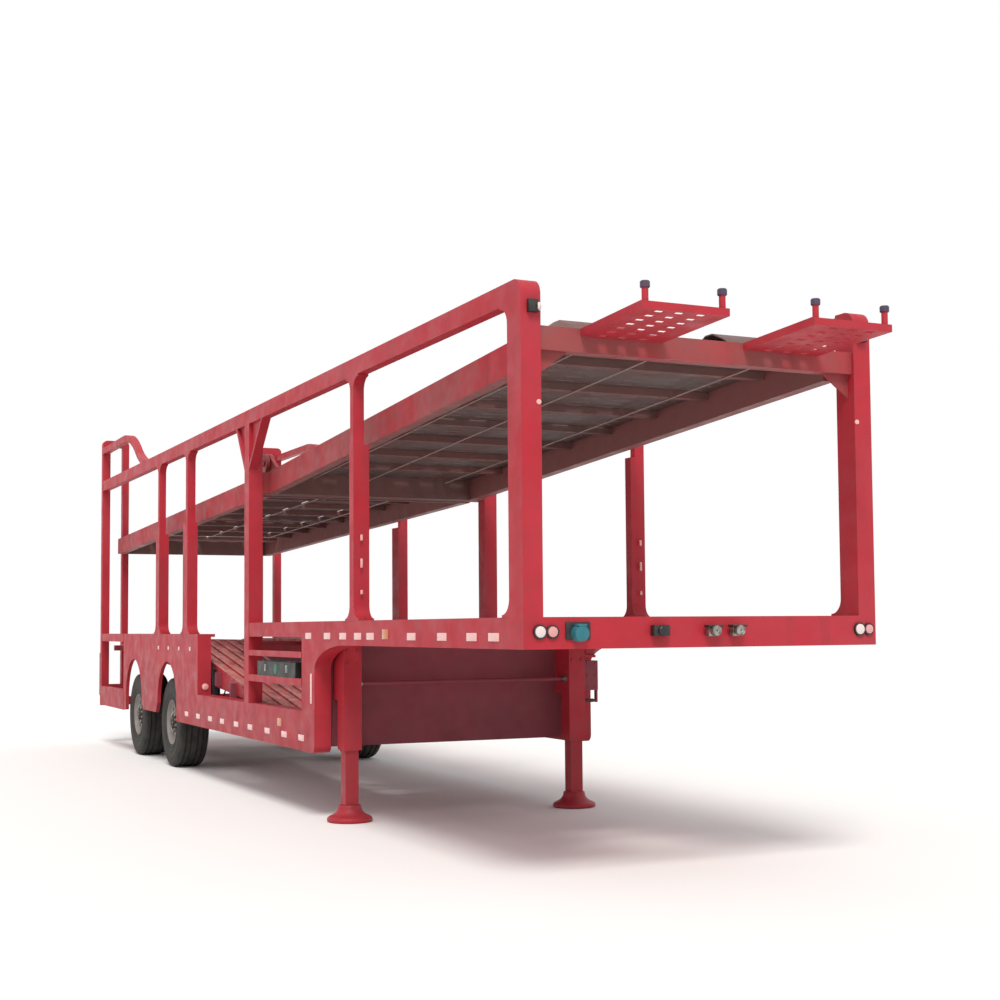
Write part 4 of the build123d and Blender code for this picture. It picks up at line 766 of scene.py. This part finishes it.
class TRANSPORTER_OT_add_trays(bpy.types.Operator):
    """Adds the pressed front trays with their pins and caps, the wheel stops and the lamps on the front posts"""
    bl_idname = "transporter.add_trays"
    bl_label = "Add the trays and post lamps"

    def execute(self, context):
        low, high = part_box("deck_trays")
        front, back = FRONT_X - high.x, FRONT_X - low.x
        inner, outer = 0.29, 0.85       # the tray's sides, from the centre line
        base, rise = low.z + 0.006, 0.025
        sheet, flange = 6 * MM, 6.2 * MM
        front_top = 3.284
        bm, dark, bracket, pale = meshes(4)

        def floor_at(station):
            return base + rise * (back - station) / (back - front)

        side = [
            (x_at(back), base), (x_at(back), 3.26), (x_at(front + 0.02), 3.290), (x_at(front), front_top),
            (x_at(front), base + rise),
        ]
        for hand in HANDS:
            y_low, y_high = sorted((hand * inner, hand * outer))
            rows = tuple(sorted(
                tuple(sorted((hand * (inner + a), hand * (inner + a + 0.055)))) for a in (0.135, 0.275, 0.405)))
            slotted_plate(
                bm, front, back, y_low, y_high, floor_at, thickness=0.005, pitch=0.094, width=0.044, rows=rows)
            for y in (y_low + sheet, y_high):
                prism(bm, side, upright(y), sheet)
            shell(bm, (x_at(front + sheet), y_low + flange, base + rise + 0.2 * MM),
                  (x_at(front), y_high - flange, front_top))
            for across in (inner + 0.03, outer - 0.03):
                spot = (high.x - 0.03, hand * across, base + rise - 2 * MM)
                tube(bm, [spot, (spot[0], spot[1], 3.372)], 0.019, 24)
                turned(dark, mm(
                    (118, 19.5), (117, 25), (121, 28), (149, 28), (155, 23), (156.5, 1),
                ), facing(spot, (0, 0, 1)), 28)
            side_shell(bracket, (x_at(0), x_at(-0.032)), hand, (1.145, 1.21), (3.325, 3.400), 4 * MM)
        turned(pale, mm((0, 27), (12, 25), (18, 14), (20, 1)), facing((x_at(-0.016), -1.145, 3.360), (0.5, 1, 0)), 24)
        add_piece("deck_trays_pressed", bm, "enamel", replaces=("deck_trays",), smooth=25)
        add_piece("lamp_brackets", bracket, "plastic")
        add_piece("tray_pin_caps", dark, "violet")
        add_piece("post_lamps", pale, "pale_lens")
        self.add_wheel_stops()
        return {"FINISHED"}

    def add_wheel_stops(self):
        deck, sheet = 3.252, 8 * MM
        hump = ((0.13, 0.0), (0.26, 0.075), (0.38, 0.125), (0.46, 0.125), (0.60, 0.06), (0.76, -0.01))
        outline = [(*spot, sheet) for spot in hump] + [(*spot, 0) for spot in reversed(hump)]
        bm = bmesh.new()
        for hand in HANDS:
            close(bm, [
                [bm.verts.new((x_at(station), hand * across, deck + up + lift * rise)) for station, rise, up in outline]
                for across, lift in ((0.30, 1.0), (0.80, 1.0), (0.94, 0.25))
            ])
        add_piece("wheel_stop_flaps", bm, "member", smooth=25)


# Lenses of a tail lamp, with the heights between which each stands in the housing
TAIL_LENSES = (
    ("red_lens", 0.02, 0.17), ("amber_lens", 0.18, 0.29), ("pale_lens", 0.30, 0.38), ("red_lens", 0.39, 0.55))


class TRANSPORTER_OT_add_tail_lamps(bpy.types.Operator):
    """Adds the tail lamp clusters: a dark housing with red, amber and pale lenses"""
    bl_idname = "transporter.add_tail_lamps"
    bl_label = "Add the tail lamps"

    def execute(self, context):
        low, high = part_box("tail_lamps")
        inner = HALF_WIDTH - 0.09
        housing = bmesh.new()
        lenses = {kind: bmesh.new() for kind, _, _ in TAIL_LENSES[:3]}
        for hand in HANDS:
            side_shell(housing, (low.x + 0.022, high.x), hand, (inner, HALF_WIDTH), (low.z, high.z), 6 * MM)
            for kind, start, end in TAIL_LENSES:
                side_shell(
                    lenses[kind], (low.x, low.x + 0.03), hand, (inner + 0.008, HALF_WIDTH - 0.008),
                    (low.z + start, low.z + end), 7 * MM)
        add_piece("tail_lamp_housings", housing, "plastic", replaces=("tail_lamps",))
        for kind, bm in lenses.items():
            add_piece(f"tail_{kind}", bm, kind)
        return {"FINISHED"}


class TRANSPORTER_OT_add_deck_plates(bpy.types.Operator):
    """Adds the upper deck's sheets with their slots and light seams"""
    bl_idname = "transporter.add_deck_plates"
    bl_label = "Add the deck plates"

    def execute(self, context):
        s = sizes()
        thickness = 5 * MM
        seam = 0.65                     # distance of the outer seams from the centre line
        last_sheet = (12.13, 12.19)     # stations of the cross seam ahead of the last sheet
        pipe_drop, pipe_radius = 57 * MM, 5 * MM
        for name, body in (("upper_front_plates", "chassis"), ("rear_deck_plates", "rear_upper_deck")):
            low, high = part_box(name)
            start, end = FRONT_X - high.x, FRONT_X - low.x

            def top_at(station):
                return high.z + (low.z + thickness - high.z) * (station - start) / (end - start)

            if name == "rear_deck_plates":
                gap = 13 * MM
                lengths = ((start, last_sheet[0]), (last_sheet[1], end))
                pipe = (start + 0.10, 11.6)
            else:
                gap = 3 * MM
                lengths = ((start, end),)
                pipe = (start + 0.16, end - 0.24)
            strips = (
                (low.y, -seam - gap, ((-0.88, -0.74),)), (gap - seam, -gap, ((-0.56, -0.42), (-0.30, -0.16))),
                (gap, seam - gap, ((0.16, 0.30), (0.42, 0.56))), (seam + gap, high.y, ((0.74, 0.88),)),
            )
            bm, pipes = meshes(2)
            for a, b in lengths:
                for y_low, y_high, rows in strips:
                    slotted_plate(bm, a, b, y_low, y_high, top_at, thickness, s.slot_pitch, s.slot_width, rows)
            add_piece(f"{name}_slotted", bm, "deck", body, (name,), 20)
            for y in (-0.66, -0.12, 0.66):
                tube(pipes, [(x_at(k), y, top_at(k) - thickness - pipe_drop) for k in pipe], pipe_radius, 12)
            add_piece(f"{name}_air_pipes", pipes, "pipe", body)
        return {"FINISHED"}


class TRANSPORTER_OT_add_ramp_skirts(bpy.types.Operator):
    """Adds the skirt plate that closes the outer side of each ramp ahead of the fender"""
    bl_idname = "transporter.add_ramp_skirts"
    bl_label = "Add the ramp skirts"

    def execute(self, context):
        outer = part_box("low_tracks")[1].y
        thickness = 5 * MM
        first, last = 5.80, 7.60

        def under_ramp(station):
            slope = (RAMP_HEAD[1] - RAMP_FOOT[1]) / (RAMP_HEAD[0] - RAMP_FOOT[0])
            return RAMP_FOOT[1] + slope * (station - RAMP_FOOT[0]) - 0.032

        outline = [
            (x_at(first), 0.790), (x_at(last), 0.925), (x_at(last), under_ramp(last)),
            (x_at(first), under_ramp(first)),
        ]
        bm = bmesh.new()
        for y in (thickness - outer, outer):
            prism(bm, outline, upright(y), thickness)
        add_piece("ramp_skirts", bm, "enamel", smooth=25)
        return {"FINISHED"}


class TRANSPORTER_OT_add_brake_gear(bpy.types.Operator):
    """Adds brake chambers, slack adjusters, spring clamps and air hoses on the axles"""
    bl_idname = "transporter.add_brake_gear"
    bl_label = "Add the brake gear"

    def execute(self, context):
        black, steel, hose = meshes(3)
        axle_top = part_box("axles")[1].z
        for wheel, hand in WHEELS:
            low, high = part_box(f"rim_{wheel}")
            x = (low.x + high.x) / 2
            spring = hand * 0.495
            chamber = hand * 0.70
            for shift in (-0.075, 0.075):
                for across in (-0.05, 0.05):
                    tube(steel, [
                        (x + shift, spring + across, z) for z in (axle_top - 0.14, axle_top + 0.075)], 0.010, 8)
            shell(steel, (x - 0.10, spring - 0.066, axle_top + 0.054), (x + 0.10, spring + 0.066, axle_top + 0.070),
                  3 * MM)
            turned(black, mm(
                (0, 2), (0, 55), (20, 75), (70, 78), (75, 85), (90, 85), (95, 78), (140, 70), (155, 45), (155, 12),
                (300, 10), (300, 1),
            ), facing((x + 0.30, chamber, 0.60), (-1, 0, 0)), 36)
            shell(black, (x - 0.02, chamber - 0.012, 0.49), (x + 0.02, chamber + 0.012, 0.62), 3 * MM)
            shell(black, (x - 0.05, chamber - 0.05, 0.545), (x + 0.30, chamber - 0.04, 0.57), 2 * MM)
            tube(hose, [
                (x + ahead, hand * across, z) for ahead, across, z in (
                    (0.28, 0.70, 0.66), (0.28, 0.66, 0.78), (0.24, 0.60, 0.92), (0.20, 0.575, 1.06),
                    (0.20, 0.57, 1.20),
                )
            ], 0.008, 8)
        add_piece("brake_chambers", black, "black")
        add_piece("spring_clamps", steel, "steel")
        add_piece("brake_hoses", hose, "plastic")
        return {"FINISHED"}


# A landing foot's profile in mm, from the leg down to the ground: heights and radii
FOOT_PROFILE = (
    (130, 0.5), (130, 86), (124, 90), (108, 92), (90, 98), (74, 109), (60, 126), (50, 146), (42, 164), (34, 175),
    (22, 180), (10, 178), (2, 170), (0, 160), (0, 0.5),
)


class TRANSPORTER_OT_add_landing_details(bpy.types.Operator):
    """Adds pressed feet, bolts, the cross shaft's collars, the crank's grip and the equipment box's fittings"""
    bl_idname = "transporter.add_landing_details"
    bl_label = "Add the landing gear details"

    def execute(self, context):
        bolts, dark, steel, bm, latches, lid = meshes(6)
        low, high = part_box("landing_shaft")
        leg_x = sum(corner.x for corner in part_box("landing_feet")) / 2
        leg_face = leg_x + 0.075
        shaft_height = 1.08
        crank_height = low.z + 0.016
        for y in (1.10, 1.175):
            for z in (1.005, 1.105, 1.205):
                hex_head(bolts, (leg_face, y, z), (1, 0, 0), 14 * MM, 7 * MM)
        turned(steel, mm((0, 30), (4, 30), (6, 24), (12, 22)),
               facing((leg_x, high.y - 0.029, shaft_height), (0, 1, 0)), 28)
        tube(dark, [(leg_x, high.y - inset, crank_height) for inset in (0.125, 0.035)], 0.0155, 20)
        for hand in HANDS:
            for height in (1.24, 1.34):
                for shift in (-0.045, 0.045):
                    hex_head(bolts, (leg_face, hand + shift, height), (1, 0, 0), 20 * MM, 10 * MM)
            turned(steel, mm((0, 19), (0, 34), (6, 34), (8, 26), (30, 26), (30, 19)),
                   facing((leg_x, hand * 0.925, shaft_height), (0, -hand, 0)), 28)
            turned(bm, mm(*FOOT_PROFILE), facing((leg_x, hand, 0.0), (0, 0, 1)), 64)
        low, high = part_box("equipment_box")
        face = low.y
        for share in (0.22, 0.78):
            x = low.x + (high.x - low.x) * share
            top, plate = high.z, face - 0.002
            shell(latches, (x - 0.03, plate, top - 0.09), (x + 0.03, face, top - 0.03))
            shell(latches, (x - 0.012, face - 0.0045, top - 0.075), (x + 0.012, plate, top - 0.045), 1 * MM)
        turned(lid, mm((0, 44), (2.5, 43), (4, 36), (4.5, 20), (4.5, 1)),
               facing(((low.x + high.x) / 2, face, (low.z + high.z) / 2), (0, -1, 0)), 32)
        add_piece("landing_bolts", bolts, "enamel", smooth=25)
        add_piece("landing_shaft_collars", steel, "steel")
        add_piece("crank_grip", dark, "plastic")
        add_piece("landing_feet_pressed", bm, "enamel", replaces=("landing_feet",))
        add_piece("box_latches", latches, "steel")
        add_piece("box_round_lid", lid, "green")
        return {"FINISHED"}


# The photograph's camera: its turns in degrees about the vertical, across its view and along it, and its place
CAMERA_TURNS = (90 - 25.17, 90 + 3.33, -0.43)
CAMERA_PLACE = (FRONT_X + 7.62, -4.97, 1.52)


class TRANSPORTER_OT_build_stage(bpy.types.Operator):
    """Adds the floor, the soft sun, the pale sky and the camera"""
    bl_idname = "transporter.build_stage"
    bl_label = "Build the stage"

    def execute(self, context):
        scene = context.scene
        self.add_floor(scene)
        self.add_sky(scene)
        self.add_sun(scene)
        self.add_camera(scene)
        scene.view_settings.view_transform = "Standard"
        return {"FINISHED"}

    def add_floor(self, scene):
        bm = bmesh.new()
        bmesh.ops.create_grid(bm, x_segments=8, y_segments=8, size=studio().floor_radius)
        mesh = bpy.data.meshes.new("floor")
        bm.to_mesh(mesh)
        bm.free()
        # Matt near the trailer, and it runs into the white of the sky between 11 and 26 m away.
        finish = Finish("matt_pale_floor", studio().floor)
        place = finish.node("NewGeometry").outputs["Position"]
        away = finish.node("VectorMath", {0: place}, operation="LENGTH").outputs["Value"]
        camera_ray = finish.node("LightPath").outputs["Is Camera Ray"]
        matt = finish.node("BsdfDiffuse", {"Color": finish.colour})
        white = finish.node("Emission", {"Color": (1, 1, 1, 1), "Strength": 1.0})
        far = finish.times(finish.band(away, 11.0, 26.0), camera_ray)
        mesh.materials.append(finish.end(
            finish.node("MixShader", {0: far, 1: matt.outputs[0], 2: white.outputs[0]})))
        floor = bpy.data.objects.new("floor", mesh)
        scene.collection.objects.link(floor)

    def add_sky(self, scene):
        world = bpy.data.worlds.new("pale_sky")
        scene.world = world
        world.use_nodes = True
        tree = world.node_tree
        tree.nodes.clear()
        path = add_node(tree, "LightPath")
        seen = path.outputs["Is Camera Ray"]
        for ray in ("Is Glossy Ray", "Is Transmission Ray"):
            seen = add_node(tree, "Math", {0: seen, 1: path.outputs[ray]}, operation="MAXIMUM").outputs[0]
        light = add_node(
            tree, "Background", {"Color": (0.97, 0.98, 1.0, 1), "Strength": studio().sky_strength})
        white = add_node(tree, "Background", {"Color": (1, 1, 1, 1), "Strength": 1.0})
        sky = add_node(tree, "MixShader", {0: seen, 1: light.outputs[0], 2: white.outputs[0]})
        add_node(tree, "OutputWorld", {"Surface": sky.outputs[0]})

    def add_sun(self, scene):
        sun = bpy.data.lights.new("soft_sun", "SUN")
        sun.energy = studio().sun_strength
        sun.angle = math.radians(20)
        sun.color = (1.0, 0.97, 0.93)
        lamp = bpy.data.objects.new("soft_sun", sun)
        lamp.rotation_euler = Vector((-0.68, 0.30, -1.0)).to_track_quat("-Z", "Y").to_euler()
        scene.collection.objects.link(lamp)

    def add_camera(self, scene):
        camera = bpy.data.cameras.new("camera")
        camera.sensor_width = 36
        camera.lens = studio().camera_focal
        camera.shift_y = 0.04
        place = Matrix.Translation(CAMERA_PLACE)
        for turn, axis in zip(CAMERA_TURNS, "ZXZ"):
            place @= Matrix.Rotation(math.radians(turn), 4, axis)
        eye = bpy.data.objects.new("camera", camera)
        eye.matrix_world = place
        scene.collection.objects.link(eye)
        scene.camera = eye


class TRANSPORTER_PT_panel(bpy.types.Panel):
    """Lists the trailer's pieces in the order they are made"""
    bl_idname = "TRANSPORTER_PT_panel"
    bl_label = "Car transporter"
    bl_space_type = "VIEW_3D"
    bl_region_type = "UI"
    bl_category = "Transporter"

    def draw(self, context):
        for operator in OPERATORS:
            self.layout.operator(operator.bl_idname)
        for group in (colours(), sizes(), studio()):
            for name in group.bl_rna.properties.keys():
                if name not in ("rna_type", "name"):
                    self.layout.prop(group, name)


GROUPS = (
    ("transporter_colours", TransporterColours),
    ("transporter_sizes", TransporterSizes),
    ("transporter_studio", TransporterStudio),
)
OPERATORS = (
    TRANSPORTER_OT_paint_frame, TRANSPORTER_OT_add_tyres, TRANSPORTER_OT_add_wheels,
    TRANSPORTER_OT_add_reflectors, TRANSPORTER_OT_add_front_fittings, TRANSPORTER_OT_add_bolts,
    TRANSPORTER_OT_add_trays, TRANSPORTER_OT_add_tail_lamps, TRANSPORTER_OT_add_deck_plates,
    TRANSPORTER_OT_add_ramp_skirts, TRANSPORTER_OT_add_brake_gear, TRANSPORTER_OT_add_landing_details,
    TRANSPORTER_OT_build_stage,
)


def register():
    for name, group in GROUPS:
        bpy.utils.register_class(group)
        setattr(bpy.types.Scene, name, bpy.props.PointerProperty(type=group))
    for operator in OPERATORS:
        bpy.utils.register_class(operator)
    bpy.utils.register_class(TRANSPORTER_PT_panel)


def unregister():
    bpy.utils.unregister_class(TRANSPORTER_PT_panel)
    for operator in reversed(OPERATORS):
        bpy.utils.unregister_class(operator)
    for name, group in reversed(GROUPS):
        delattr(bpy.types.Scene, name)
        bpy.utils.unregister_class(group)


def main():
    register()
    for operator in OPERATORS:
        group, name = operator.bl_idname.split(".")
        getattr(getattr(bpy.ops, group), name)()


if __name__ == "__main__":
    main()
